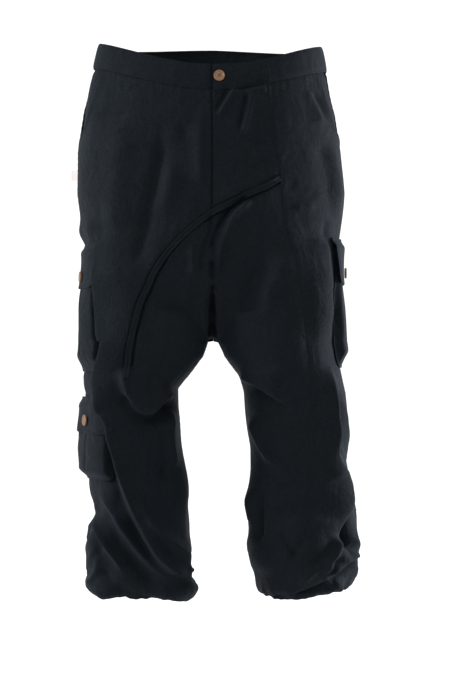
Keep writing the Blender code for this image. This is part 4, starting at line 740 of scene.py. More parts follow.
def linear(hexColour):
    parts = [int(hexColour[i:i + 2], 16) / 255 for i in (1, 3, 5)]
    return tuple(c / 12.92 if c <= 0.04045 else ((c + 0.055) / 1.055) ** 2.4 for c in parts) + (1.0,)


# a node's inputs linked or set, by name, or by number after an underscore
def feed(tree, node, **inputs):
    for key, value in inputs.items():
        socket = node.inputs[int(key[1:]) if key[0] == "_" else key.replace("_", " ")]
        if isinstance(value, bpy.types.NodeSocket):
            tree.links.new(value, socket)
        else:
            socket.default_value = value
    return node


def addNode(tree, kind, settings={}, **inputs):
    node = tree.nodes.new(kind)
    for key, value in settings.items():
        setattr(node, key, value)
    return feed(tree, node, **inputs)


def newMaterial(name, **inputs):
    material = bpy.data.materials.new(name)
    material.use_nodes = True
    tree = material.node_tree
    return material, tree, feed(tree, tree.nodes["Principled BSDF"], **inputs)


twill = {
    "dark": "#070a0c",
    "light": "#0b1014",
    "sheenTint": "#8ca0b8",
    "glossTint": "#edf3ff",
    "rough": 0.8,
    "sheen": 0.045,
    "gloss": 0.085,
    "grain": 0.6,  # how unevenly the yarns catch the light
    "grainScale": 330.0,  # yarns 1 to 3 mm apart, coarser than real ones so that they show
    "cloudScale": 9.0,  # slow change of the dye, a hand wide
    "waleSpacing": 0.0011,
    "waleTurn": 58.0,
    "waleDepth": 0.00012,
    "slubScale": 420.0,
    "crumpleScale": 30.0,
    "crumpleStretch": 0.8,
    "crumpleDepth": 0.0036,
}


# matt brushed cotton: soft edge glow from its nap and faint diagonal wales up close
def cottonTwill():
    t = twill
    material, tree, shader = newMaterial(
        "cotton twill", Roughness=t["rough"], IOR=1.46, Sheen_Weight=t["sheen"], Sheen_Roughness=0.55,
        Sheen_Tint=linear(t["sheenTint"]), Specular_Tint=linear(t["glossTint"]))
    uv = addNode(tree, "ShaderNodeUVMap", {"uv_map": "cloth"}).outputs["UV"]
    place = addNode(tree, "ShaderNodeTexCoord").outputs["Object"]
    cloud = addNode(tree, "ShaderNodeTexNoise", Vector=place, Scale=t["cloudScale"], Detail=4.0,
                    Roughness=0.6)
    tint = addNode(tree, "ShaderNodeMix", {"data_type": "RGBA"}, Factor=cloud.outputs["Fac"],
                   _6=linear(t["dark"]), _7=linear(t["light"]))
    turned = addNode(tree, "ShaderNodeMapping", Vector=uv, Rotation=(0.0, 0.0, math.radians(t["waleTurn"])))
    wale = addNode(tree, "ShaderNodeTexWave", {"wave_type": "BANDS", "bands_direction": "X"},
                   Vector=turned.outputs["Vector"], Scale=0.314 / t["waleSpacing"], Distortion=1.2,
                   Detail=2.0)
    slub = addNode(tree, "ShaderNodeTexNoise", Vector=uv, Scale=t["slubScale"], Detail=3.0)
    weave = addNode(tree, "ShaderNodeMath", {"operation": "ADD"}, _0=wale.outputs["Fac"],
                    _1=slub.outputs["Fac"])
    bump = addNode(tree, "ShaderNodeBump", Height=weave.outputs[0], Strength=0.5, Distance=t["waleDepth"])
    # single yarns catch the light unevenly, which gives the cloth its fine grain
    grain = addNode(tree, "ShaderNodeTexNoise", Vector=place, Scale=t["grainScale"], Detail=3.0,
                    Roughness=0.7)
    glint = addNode(tree, "ShaderNodeMapRange", Value=grain.outputs["Fac"], From_Min=0.3, From_Max=0.7,
                    To_Min=t["gloss"] * (1.0 - t["grain"]), To_Max=t["gloss"] * (1.0 + t["grain"]))
    # fine crumple that washed cotton keeps: shallow uneven dents a thumb wide, over the folds
    stretched = addNode(tree, "ShaderNodeMapping", Vector=place, Scale=(1.0, 1.0, t["crumpleStretch"]))
    crumple = addNode(tree, "ShaderNodeTexNoise", Vector=stretched.outputs["Vector"], Scale=t["crumpleScale"],
                      Detail=4.0, Roughness=0.52, Distortion=0.7)
    dents = addNode(tree, "ShaderNodeBump", Height=crumple.outputs["Fac"], Strength=1.0,
                    Distance=t["crumpleDepth"], Normal=bump.outputs["Normal"])
    feed(tree, shader, Base_Color=tint.outputs[2], Specular_IOR_Level=glint.outputs["Result"],
         Normal=dents.outputs["Normal"])
    return material


coconut = {"dark": "#38210f", "light": "#724e31", "fleckScale": 900.0, "from": 0.34, "to": 0.56}


# polished shell: warm tan with brown flecks and streaks, satin gloss
def coconutShell():
    material, tree, shader = newMaterial("coconut shell", Roughness=0.42, IOR=1.5)
    place = addNode(tree, "ShaderNodeTexCoord").outputs["Object"]
    fleck = addNode(tree, "ShaderNodeTexNoise", Vector=place, Scale=coconut["fleckScale"], Detail=5.0,
                    Roughness=0.65).outputs["Fac"]
    ramp = addNode(tree, "ShaderNodeValToRGB", Fac=fleck)
    for stop, position, colour in zip(ramp.color_ramp.elements, ("from", "to"), ("dark", "light")):
        stop.position = coconut[position]
        stop.color = linear(coconut[colour])
    bump = addNode(tree, "ShaderNodeBump", Height=fleck, Strength=0.25, Distance=0.0001)
    feed(tree, shader, Base_Color=ramp.outputs["Color"], Normal=bump.outputs["Normal"])
    return material


cloth = cottonTwill()
# twisted cotton thread, a little shinier than the cloth
thread = newMaterial("navy sewing thread", Base_Color=linear("#090b0e"), Roughness=0.85,
                     Specular_IOR_Level=0.15)[0]
shell = coconutShell()
# woven polyester satin: smooth off-white with a soft lustre
ribbon = newMaterial("satin ribbon", Base_Color=linear("#e6dcd9"), Roughness=0.45, Sheen_Weight=0.2)[0]
print("stage: materials ready")

stitchLines = []


def newObject(name, mesh):
    item = bpy.data.objects.new(name, mesh)
    scene.collection.objects.link(item)
    return item


# open grids of points in millimetres as one smooth mesh with crisp borders
def gridObject(name, grids, material):
    vertices, quads, places, borders, count = [], [], [], [], 0
    for points in grids:
        rows, columns = points.shape[:2]
        index = count + np.arange(rows * columns).reshape(rows, columns)
        corners = index[:-1, :-1], index[1:, :-1], index[1:, 1:], index[:-1, 1:]
        quads.append(np.stack(corners, -1).reshape(-1, 4))
        vertices.append(points.reshape(-1, 3) * mm)
        places.append(np.stack((runAlong(points, 1) * mm, -runAlong(points, 0) * mm), -1).reshape(-1, 2))
        border = np.ones((rows, columns), bool)
        border[1:-1, 1:-1] = False
        borders.append(border.ravel())
        count += rows * columns
    mesh = bpy.data.meshes.new(name)
    mesh.from_pydata(np.concatenate(vertices).tolist(), [], np.concatenate(quads).tolist())
    layer = mesh.uv_layers.new(name="cloth")
    corner = np.empty(len(mesh.loops), np.int32)
    mesh.loops.foreach_get("vertex_index", corner)
    layer.data.foreach_set("uv", np.concatenate(places)[corner].astype(np.float32).ravel())
    ends = np.empty(len(mesh.edges) * 2, np.int32)
    mesh.edges.foreach_get("vertices", ends)
    crisp = np.concatenate(borders)[ends.reshape(-1, 2)].all(1)
    mesh.attributes.new("sharp_edge", "BOOLEAN", "EDGE").data.foreach_set("value", crisp)
    mesh.materials.append(material)
    mesh.shade_smooth()
    return newObject(name, mesh)


# normals of a grid's own faces, and whether they look along its guide
def gridNormals(points):
    normal = np.cross(np.gradient(points, axis=0), np.gradient(points, axis=1))
    return normal / np.maximum(np.linalg.norm(normal, axis=-1, keepdims=True), 1e-9)


def looksOut(normals, guide):
    return (normals * guide).sum() > 0


# a finished sheet: its outer face on the points, its wall inwards, with what is sewn on behind it
def clothPiece(name, node, points, guide, flat, area, held, rests, wall=None, material=None,
               slotName="navy_cotton", behind=()):
    normals = gridNormals(points)
    grids, guides = [points], [guide]
    for extra, extraGuide in behind:
        same = looksOut(gridNormals(extra), extraGuide) == looksOut(normals, guide)
        grids.append(extra if same else extra[:, ::-1])
        guides.append(extraGuide if same else extraGuide[:, ::-1])
    item = gridObject(name, grids, material or cloth)
    facing = np.empty(len(item.data.vertices) * 3, np.float32)
    item.data.vertex_normals.foreach_get("vector", facing)
    if not looksOut(facing.reshape(-1, 3), np.concatenate([part.reshape(-1, 3) for part in guides])):
        item.data.flip_normals()
    solid = item.modifiers.new("wall", "SOLIDIFY")
    solid.thickness = (wall or g["wall"]) * mm
    solid.offset = -1.0
    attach(item, "root")
    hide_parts(*([node] if isinstance(node, str) else node))
    return {"points": points, "normals": normals if looksOut(normals, guide) else -normals, "object": item}


seamStyle = {
    "groove": 0.6,
    "grooveWidth": 1.4,
    "ridge": 0.45,
    "ridgeWidth": 9.0,
    "pucker": 0.32,
    "puckerLength": 11.0,
    "puckerWidth": 10.0,
    "waistDip": (1.3, 2.2),  # depth and width of the dip under the band
    "flyDip": 2.6,
    "openingRise": (8.0, 24.0),  # width of the lifted edge, and how far down it fades
}


# groove at the join, flat raised allowance beside it and small puckers along it
def seamRelief(distance, along, strength, phase):
    s = seamStyle
    groove = -s["groove"] * bell(distance, s["grooveWidth"])
    band = s["ridge"] * ease((s["ridgeWidth"] + 1.5 - distance) / 2.5)
    beat = np.sin(along * 2 * math.pi / s["puckerLength"] + 1.7 * np.sin(along / 37.0 + phase) + phase)
    patchy = 0.6 + 0.4 * np.sin(along / 53.0 + phase)
    pucker = s["pucker"] * beat * bell(distance, s["puckerWidth"]) * patchy
    return (groove + band + pucker) * strength


def waistDip(tall):
    depth, width = seamStyle["waistDip"]
    return -depth * bell(panelTop - tall, width)


# cloth pressed down under the lapped seam, rising again just past its edge
tuck = {
    "flat": 5.8,
    "rise": 2.6,
    "fade": 30.0,
    "slope": 0.88,  # way to the slanted edge, for each millimetre straight down or up
}


def lapTuck(distance, depth):
    return -depth * bell(np.maximum(distance - tuck["flat"], 0.0), tuck["rise"])


# how far each point of a level grid is from its left and its right edge
def edgeDistances(sign, turns, heights):
    length = turnLength(sign, heights, turns)
    steps = np.diff(turns, axis=1) * (length[:, 1:] + length[:, :-1]) / 2
    run = np.concatenate((np.zeros((len(turns), 1)), np.cumsum(steps, axis=1)), 1)
    return run, run[:, -1:] - run


# rows crowd together round the crotch
crotchRows = np.array((9.0, 6.0, 4.0, 2.5, 1.2, 0.4, 0.0, -1.5, -3.0))


def panelHeights(top, bottom):
    base = np.linspace(top, bottom, int((top - bottom) / g["gridStep"]) + 1)
    extra = g["crotch"] + crotchRows
    base = base[(base > extra.max() + 1.5) | (base < extra.min() - 1.5)]
    return np.unique(np.concatenate((base, extra)))[::-1]


# cloth turned under behind the seams, so that no light passes them
allowance = {"below": 2.3, "half": 4.5, "waistBelow": 3.4, "waistUp": 5.0, "waistDown": 6.0,
             "bandBelow": 3.2, "pastBand": 36.0}
threeAcross = np.array((-1.0, 0.0, 1.0))


# every turn at every height, as two grids of one shape
def spreadGrid(turns, heights):
    return np.broadcast_arrays(turns, heights[:, None])


def seamAllowance(sign, turns, heights, deeper=0.0):
    width = allowance["half"] / turnLength(sign, heights, turns)
    grid, tall = spreadGrid(turns[:, None] + threeAcross * width[:, None], heights)
    return clothPoint(sign, grid, tall, -allowance["below"] - np.reshape(deeper, (-1, 1)))


def sideBySide(columns):
    return [np.stack(part, 1) for part in zip(*columns)]


def centreAllowance(end, top):
    heights = np.arange(top, g["crotch"] + 4.0, -4.0)
    made = []
    for sign in (-1, 1):
        length = 2.0 * ringLengths(sign, heights)[end]
        made.append(clothPoint(sign, np.abs(end - allowance["half"] / length), heights, -allowance["below"]))
    made.insert(1, clothPoint(1, np.full(len(heights), float(end)), heights, -allowance["below"]))
    return sideBySide(made)


def waistAllowance(sign, turns):
    tall = np.array((panelTop + allowance["waistUp"], panelTop, panelTop - allowance["waistDown"]))
    return clothPoint(sign, *spreadGrid(turns, tall), -allowance["waistBelow"])


# A panel with level rows between two seams. In seams, an edge's number is how strongly it shows, dense
# crowds the columns to the left, and the rest say what the edges meet, in millimetres of depth.
def levelPanel(name, sign, heights, left, right, seams, flat, area, gap=None):
    gap = gap or g["seamGap"]
    length = turnLength(sign, heights, (left + right) / 2)
    start = left + gap / 2 / length
    end = np.maximum(right - gap / 2 / length, start + 1.2 / length)
    step = g["backStep"] if left[0] >= 0.5 else g["gridStep"]
    columns = int(((end - start) * length).max() / step)
    share = np.linspace(0.0, 1.0, columns + 1)[None, :] ** seams.get("dense", 1.0)
    turns, tall = spreadGrid(lerp(start[:, None], end[:, None], share), heights)
    fromLeft, fromRight = edgeDistances(sign, turns, tall)
    relief = waistDip(tall) if heights[0] == panelTop else 0.0
    beside = ease((tall - lapEnd) / tuck["fade"])
    if "tucked" in seams:
        relief = relief + lapTuck(fromRight, seams["tucked"]) * beside
    if "pressed" in seams:
        relief = relief + lapTuck(fromLeft, seams["pressed"]) * beside * ease((lapCentre - tall) / 4.0)
    if "dipped" in seams:
        above = ease((tall - lapCentre) / 6.0) * ease((panelTop - tall) / 6.0)
        relief = relief - seams["dipped"] * bell(fromLeft, seamStyle["flyDip"]) * above
    if "opening" in seams:
        width, fade = seamStyle["openingRise"]
        mouth = openings[sign][1][-1]
        relief = relief + seams["opening"] * bell(fromRight, width) * ease((tall - mouth + width) / fade)
    for edge, distance in (("left", fromLeft), ("right", fromRight)):
        relief = relief + seamRelief(distance, tall, seams[edge], phase=len(name) + 2.0 * len(edge))
    points, guide = clothPoint(sign, turns, tall, relief)
    behind = list(seams.get("behind", ()))
    if heights[0] == panelTop:
        behind.append(waistAllowance(sign, turns[0]))
    return clothPiece(name, seams["node"], points, guide, flat, area, "gathered", (), behind=behind)


# points and normals on a piece at a distance in from one of its edges
def edgeLine(piece, edge, offset, start, end):
    points, normals = piece["points"], piece["normals"]
    if edge in ("top", "bottom"):
        points, normals = points.transpose(1, 0, 2), normals.transpose(1, 0, 2)
    if edge in ("right", "bottom"):
        points, normals = points[:, ::-1], normals[:, ::-1]
    rows = []
    for row, run in zip(np.concatenate((points, normals), -1), runAlong(points, 1)):
        if run[-1] >= offset * 1.6:
            rows.append(readAt(offset, run, row))
    return np.array(rows[int(start * len(rows)):int(end * len(rows)) or None])


def topstitch(piece, edge, offsets, start=0.0, end=1.0):
    for offset in offsets:
        rows = edgeLine(piece, edge, offset, start, end)
        if len(rows) > 3:
            stitchLines.append(rows)


panelTop = g["waistTop"] - g["bandHeight"] - g["seamGap"]
bandLength = 2.0 * ringLengths(1, 0.0)[0]
lapCentreReal = -271.5  # where the lapped seam crosses the centre
lapCentre = frontPlace(g["centreX"], lapCentreReal)[2]
rightSeam = ((g["centreX"], lapCentreReal), *(p for p in lapSeam if p[0] < g["centreX"]), *rightLegSeam[1:])
lapEnd = lapSeam[-1][1]
lapSlit = 0.2  # half the gap between the fronts under the lapped seam
# turns and heights of the slanted pocket openings, down to the side seam
openings = {}
for sign in (-1, 1):
    turns, tall = frontPlaces(hipOpenings[sign])
    turns[-1] = 0.5
    openings[sign] = (turns, tall)


def openingTurn(sign, heights):
    turns, tall = openings[sign]
    return np.where(heights > tall[-1], np.interp(-heights, -tall, turns), 0.5)


# level rows of the panels, with one where each opening bends and where each lapped piece starts
rowSpace = 1.6
crotchTop = lapCentre - 7.0
marks = np.concatenate((openings[-1][1][1:], openings[1][1][1:], (lapCentre, crotchTop)))
heights = panelHeights(panelTop, legEnd)
spaced = np.abs(heights[:, None] - marks).min(1) > rowSpace
spaced[[0, -1]] = True
heights = np.unique(np.concatenate((heights[spaced], marks)))[::-1]
heights = heights[(heights <= panelTop) & (heights >= legEnd)]

# right front
frontEdge = np.where(heights >= lapCentre, 0.0, seamTurn(rightSeam, -1, heights))
rightFront = levelPanel(
    "rightFront", -1, heights, frontEdge, openingTurn(-1, heights),
    {"node": "front_right", "left": 0.35, "right": 0.0, "pressed": 1.6, "opening": 1.4, "dipped": 3.2,
     "dense": 1.25},
    (0.34, 1.10), 0.245)

# right crotch and inner leg
low = heights[heights <= crotchTop + 0.1]
lower = low[low < lapEnd]
levelPanel("rightCrotchFront", -1, low, np.zeros(len(low)), seamTurn(rightSeam, -1, low),
           {"node": ("crotch_front_right", "inner_leg_front_right"), "left": 0.0, "right": 0.0, "tucked": 5.2,
            "dense": 1.35, "behind": (seamAllowance(-1, seamTurn(rightSeam, -1, lower), lower),)},
           (0.25, 0.86), 0.11, gap=0.3)

# left fronts
lapTurns, lapTall = frontPlaces([p for p in lapSeam if p[0] > g["centreX"]])
lapTurns, lapTall = np.append(lapTurns, 0.0), np.append(lapTall, lapCentre)
lapTop = lapTall[0]
princessAtLap = seamTurn(princessSeam, 1, [lapTop])[0]


def lapHeight(share):
    return np.interp(share * princessAtLap, lapTurns[::-1], lapTall[::-1])


# A left front piece between the centre and the princess seam, with its top or its bottom along the lapped
# seam. Pull is how much of that slant each row takes.
def slantPanel(name, node, sideRows, centreRows, pull, columns, flat, area, seams):
    share = np.linspace(0.0, 1.0, columns + 1)[None, :] ** seams["dense"]
    straight = lerp(lapCentre, lapTop, share)
    tall = lerp(centreRows[:, None], sideRows[:, None], share) + pull[:, None] * (lapHeight(share) - straight)
    full = seamTurn(princessSeam, 1, tall.ravel()).reshape(tall.shape)
    gap = g["seamGap"] / 2 / (2.0 * ringLengths(1, tall)[0])
    turns = lerp(gap, full - gap, share)
    over = (tall - straight) * tuck["slope"]
    if "pressed" in seams:
        relief = lapTuck(np.maximum(over, 0.0), seams["pressed"]) + waistDip(tall)
        behind = (waistAllowance(1, turns[0][turns[0] > allowance["pastBand"] / bandLength]),)
    else:
        relief = lapTuck(np.maximum(-over, 0.0), seams["tucked"])
        behind = seams["behind"]
    for edge, distance in zip(("left", "right"), edgeDistances(1, turns, tall)):
        relief = relief + seamRelief(distance, tall, seams[edge], phase=len(name))
    points, guide = clothPoint(1, turns, tall, relief)
    return clothPiece(name, node, points, guide, flat, area, "gathered", (), behind=behind)


above = np.linspace(0.0, 1.0, 88)
flyFront = slantPanel("leftFlyFront", "front_left_fly", lerp(panelTop, lapTop + lapSlit, above),
                      lerp(panelTop, lapCentre + lapSlit, above), above, 56, (0.135, 0.20), 0.0205,
                      {"left": 0.35, "right": 0.0, "pressed": 1.6, "dense": 1.0})
inside = heights[2:-1]
leftSide = levelPanel(
    "leftSideFront", 1, heights, seamTurn(princessSeam, 1, heights), openingTurn(1, heights),
    {"node": "front_left_side", "left": 0.8, "right": 0.0, "opening": 1.4,
     "behind": (seamAllowance(1, seamTurn(princessSeam, 1, inside), inside,
                              5.4 * bell(inside - lapTop, 12.0)),)},
    (0.22, 1.08), 0.178)
sideRows = np.concatenate(([lapTop - lapSlit], heights[heights < lapTop - 2.0]))
levelFrom = int((sideRows > g["splitEnd"]).sum())
rest = np.clip(1.0 - np.arange(len(sideRows)) / levelFrom, 0, 1)
centreRows = np.where(rest > 0, lerp(sideRows[levelFrom], lapCentre - lapSlit, rest), sideRows)
slantPanel("leftCrotchFront", ("crotch_front_left", "inner_leg_front_left"), sideRows, centreRows, rest, 60,
           (0.28, 0.88), 0.147,
           {"left": 0.0, "right": 0.0, "tucked": 5.2, "dense": 1.35,
            "behind": (centreAllowance(0, lapCentre + 20.0),)})

# backs
backs = {}
for name, node, sign in (("rightBack", ("back_right", "back_right_leg"), -1),
                         ("leftBack", ("back_left", "back_left_leg"), 1)):
    low = heights[heights < openings[sign][1][-1] - 3.0][:-1]
    behind = [seamAllowance(sign, np.full(len(low), 0.5), low)]
    if sign > 0:
        behind.append(centreAllowance(1, panelTop - 1.0))
    backs[sign] = levelPanel(name, sign, heights, np.full(len(heights), 0.5), np.ones(len(heights)),
                             {"node": node, "left": 0.7, "right": 0.7, "behind": behind}, (0.44, 1.12), 0.355)
print("stage: panels ready")

# facings that show in the hip pocket openings, deeper under the band
hipFacing = {
    "rows": 32,
    "columns": 16,
    "above": 6.0,
    "below": 12.0,
    "under": 12.0,  # how far it runs in under the front, and past the side seam
    "past": 5.0,
    "lastTurn": 0.47,
    "depth": 3.2,
    "deeper": 2.0,
    "fade": 8.0,
}
for name, node, sign in (("rightHipFacing", "hip_facing_right", -1), ("leftHipFacing", "hip_facing_left", 1)):
    f = hipFacing
    tall = np.linspace(panelTop + f["above"], openings[sign][1][-1] - f["below"], f["rows"])
    length = 2.0 * ringLengths(sign, tall)[0]
    start = np.minimum(openingTurn(sign, tall), f["lastTurn"]) - f["under"] / length
    share = np.linspace(0, 1, f["columns"])
    turns, tall = spreadGrid(lerp(start[:, None], (0.5 + f["past"] / length)[:, None], share), tall)
    depth = f["depth"] + f["deeper"] * ease((tall - panelTop + f["fade"]) / f["fade"])
    clothPiece(name, node, *clothPoint(sign, turns, tall, -depth), (0.095, 0.155), 0.0112, "laid", ())

# waistband
band = {
    "wall": 2.6,
    "proud": 0.5,
    "rows": 11,
    "step": 5.0,
    "roll": (1.2, 1.8),  # depth and width of its soft edges
    "swell": (0.5, 4.0, 6.0),  # height of the quilted middle, and where it starts and ends
    "ripple": 0.45,
    "under": 34.0,  # length of its buttoned end, and how deep that lies
    "sunk": 3.6,
    "rising": (1.0, 5.0),
    "half": 0.2,
}
bandBottom = g["waistTop"] - g["bandHeight"]
bandTall = np.linspace(g["waistTop"], bandBottom, band["rows"])


# soft rolled edges, a quilted middle between the stitch rows and slow ripples
def bandRelief(along, tall):
    edge = np.minimum(g["waistTop"] - tall, tall - bandBottom)
    depth, width = band["roll"]
    height, start, fade = band["swell"]
    ripple = band["ripple"] * np.sin(along / 17.0 + tall / 60.0) * np.sin(along / 41.0 + 1.0)
    return band["proud"] - depth * bell(edge, width) + height * ease((edge - start) / fade) + ripple


# each part is the side's sign and the turn and the lift at its two ends
def bandPiece(name, node, parts, flat, behind=()):
    made = []
    for number, (sign, start, end) in enumerate(parts):
        count = max(int(abs(end[0] - start[0]) * bandLength / band["step"]), 2)
        turns, lift = np.linspace(start, end, count + 1)[min(number, 1):].T
        turns, tall = spreadGrid(turns, bandTall)
        made.append(clothPoint(sign, turns, tall, bandRelief(turns * bandLength * sign, tall) + lift))
    points, guide = (np.concatenate(part, 1) for part in zip(*made))
    return clothPiece(name, node, points, guide, flat, None, "gathered", (), wall=band["wall"], behind=behind)


half = band["half"] / bandLength
sunk = -band["sunk"]
firstRise, lastRise = (value / bandLength for value in band["rising"])
joins = spreadGrid(0.5 + threeAcross * allowance["half"] / bandLength, bandTall[1:-1])
bandLeft = bandPiece("waistbandFrontLeft", "waistband_front_left",
                     ((1, (half, 0), (0.5 - half, 0)),), (0.27, 0.043))
bandRight = bandPiece("waistbandFrontRight", "waistband_front_right",
                      ((1, (band["under"] / bandLength, sunk), (0.0, sunk)),
                       (-1, (0.0, sunk), (firstRise, sunk)),
                       (-1, (firstRise, sunk), (lastRise, 0)),
                       (-1, (lastRise, 0), (0.5 - half, 0))), (0.31, 0.043))
bandBack = bandPiece("waistbandBack", "waistband_back",
                     ((-1, (0.5 + half, 0), (1.0, 0)), (1, (1.0, 0), (0.5 + half, 0))), (0.54, 0.043),
                     behind=[clothPoint(sign, *joins, -allowance["bandBelow"]) for sign in (-1, 1)])

# underlap behind the fly
underlap = {"from": -8.0, "to": 34.0, "columns": 12, "rows": 36, "above": 22.0, "depth": 5.4}
tall = np.linspace(panelTop - 1.0, lapCentre + underlap["above"], underlap["rows"])
made = []
for across in np.linspace(underlap["from"], underlap["to"], underlap["columns"]):
    sign = -1 if across < 0 else 1
    made.append(clothPoint(sign, abs(across) / (2.0 * ringLengths(sign, tall)[0]), tall, -underlap["depth"]))
clothPiece("flyUnderlap", "fly_underlap", *sideBySide(made), (0.042, 0.185), None, "laid", ())
print("stage: waistband and fly ready")

# lapped seam across the front
lap = {
    "width": 9.5,
    "wall": 1.2,
    "lift": 2.9,
    "lower": 0.9,
    "step": 4.5,
    "firstShare": 0.25,
    "fadeIn": 14.0,
    "pucker": 0.3,
    # its section, as shares of the width and of the lift
    "section": ((-0.5, 0.3), (-0.46, 0.9), (-0.36, 1.1), (-0.2, 0.8), (0.0, 0.62), (0.2, 0.8), (0.36, 1.1),
                (0.46, 0.95), (0.5, 0.3)),
}
path = softPath(lapSeam, lap["step"])
ways = np.gradient(path, axis=0)
ways /= np.linalg.norm(ways, axis=1, keepdims=True)
stations = []
for (x, z), (wayX, wayZ) in zip(path, ways):
    begun = lerp(lap["firstShare"], 1.0, ease(np.hypot(x - path[0, 0], z - path[0, 1]) / lap["fadeIn"]))
    lift = lap["lift"] + lap["pucker"] * math.sin((x - z) / 1.9) * math.sin((x - z) / 9.0)
    row = []
    for share, high in lap["section"]:
        across = share * lap["width"]
        point, guide = frontPoint(x - wayZ * across, z + wayX * across, 0.0)
        row.append((point + guide * (lap["lower"] + lift * high) * begun, guide))
    stations.append(row)
lapStrip = clothPiece("frontLapSeam", "front_lap_seam", *np.array(stations).transpose(2, 0, 1, 3),
                      (0.0105, 0.46), None, "laid", ("leftFlyFront", "rightFront"), wall=lap["wall"])
topstitch(lapStrip, "left", (1.8,))
topstitch(lapStrip, "right", (1.8,))
print("stage: lapped seam ready")

# Cargo pockets. Turn is where the middle lies round the leg, drop is the button's, below the flap's top, and
# tilt is how much the turn grows down to the bottom.
pockets = (
    {"name": "UpperRight", "node": "upper_right", "sign": -1, "turn": 0.44, "top": -318, "width": 104,
     "flap": 76, "bottom": -536, "drop": 56, "tilt": -0.022},
    {"name": "LowerRight", "node": "lower_right", "sign": -1, "turn": 0.405, "top": -578, "width": 128,
     "flap": 60, "bottom": -718, "drop": 38, "tilt": 0.01},
    {"name": "Left", "node": "left", "sign": 1, "turn": 0.484, "top": -310, "width": 136,
     "flap": 76, "bottom": -530, "drop": 56, "tilt": 0.0},
)
pocketShape = {
    "wall": 1.4,
    "lift": 2.9,
    "mouth": 16.0,  # below the top of the flap
    "mouthDepth": 5.0,  # shallow at the mouth, deepest below the middle
    "depth": 15.0,
    "corner": 14.0,
    "side": 0.08,  # shares of the width and height in which it rises
    "foot": 0.14,
    "pleat": (2.4, 2.2),  # depth and width of the middle pleat
    "bulge": 1.6,
    "wrinkle": 0.8,
    "groove": (0.5, 1.2, 0.4),  # depth, width and place of the stitched-in edge
    "turnedIn": (34, 18),  # cloth of the bellows and hems
    "marks": (-0.5, -0.47, -0.42, -0.3, -0.03, 0.0, 0.03, 0.3, 0.42, 0.47, 0.5),
    "steps": (3.6, 4.2),
}
flapShape = {
    "wall": 1.9,
    "lift": 4.1,
    "clear": 2.8,
    "corner": 16.0,
    "wider": 8.0,
    "head": (2.0, 13.0),  # where it starts to rise over the bellows, and over what length
    "roll": (0.7, 1.5),
    "groove": (0.4, 1.0, 6.0),
    "curl": 1.2,
    "tuckedEnds": 1.5,
    "dimple": (0.9, 13.0),
    "steps": (3.8, 3.6),
}


def placeOn(pocket, across, drop, top, bottom, width):
    height = lerp(top, bottom, drop)
    reach = across * width
    lean = pocket["tilt"] * (pocket["top"] - height) / (pocket["top"] - pocket["bottom"])
    front, back = ringLengths(pocket["sign"], height)
    return pocket["turn"] + lean + reach / (2.0 * np.where(reach < 0, front, back)), height


def bellowsDepth(pocket, height):
    mouth = pocket["top"] - pocketShape["mouth"]
    way = (mouth - height) / (mouth - pocket["bottom"])
    return lerp(pocketShape["mouthDepth"], pocketShape["depth"], ease(way / 0.6))


# how much narrower a rounded corner makes a row
def cornerCut(remaining, radius):
    short = np.clip(radius - remaining, 0.0, radius)
    return radius - np.sqrt(radius ** 2 - short ** 2)


def mixedSteps(marks, step):
    made = [np.linspace(a, b, max(int(round((b - a) / step)), 1), endpoint=False)
            for a, b in zip(marks, marks[1:])]
    return np.concatenate(made + [marks[-1:]])


def allSteps(*runs):
    return np.unique(np.concatenate([np.linspace(*run) if len(run) == 3 else run for run in runs]))


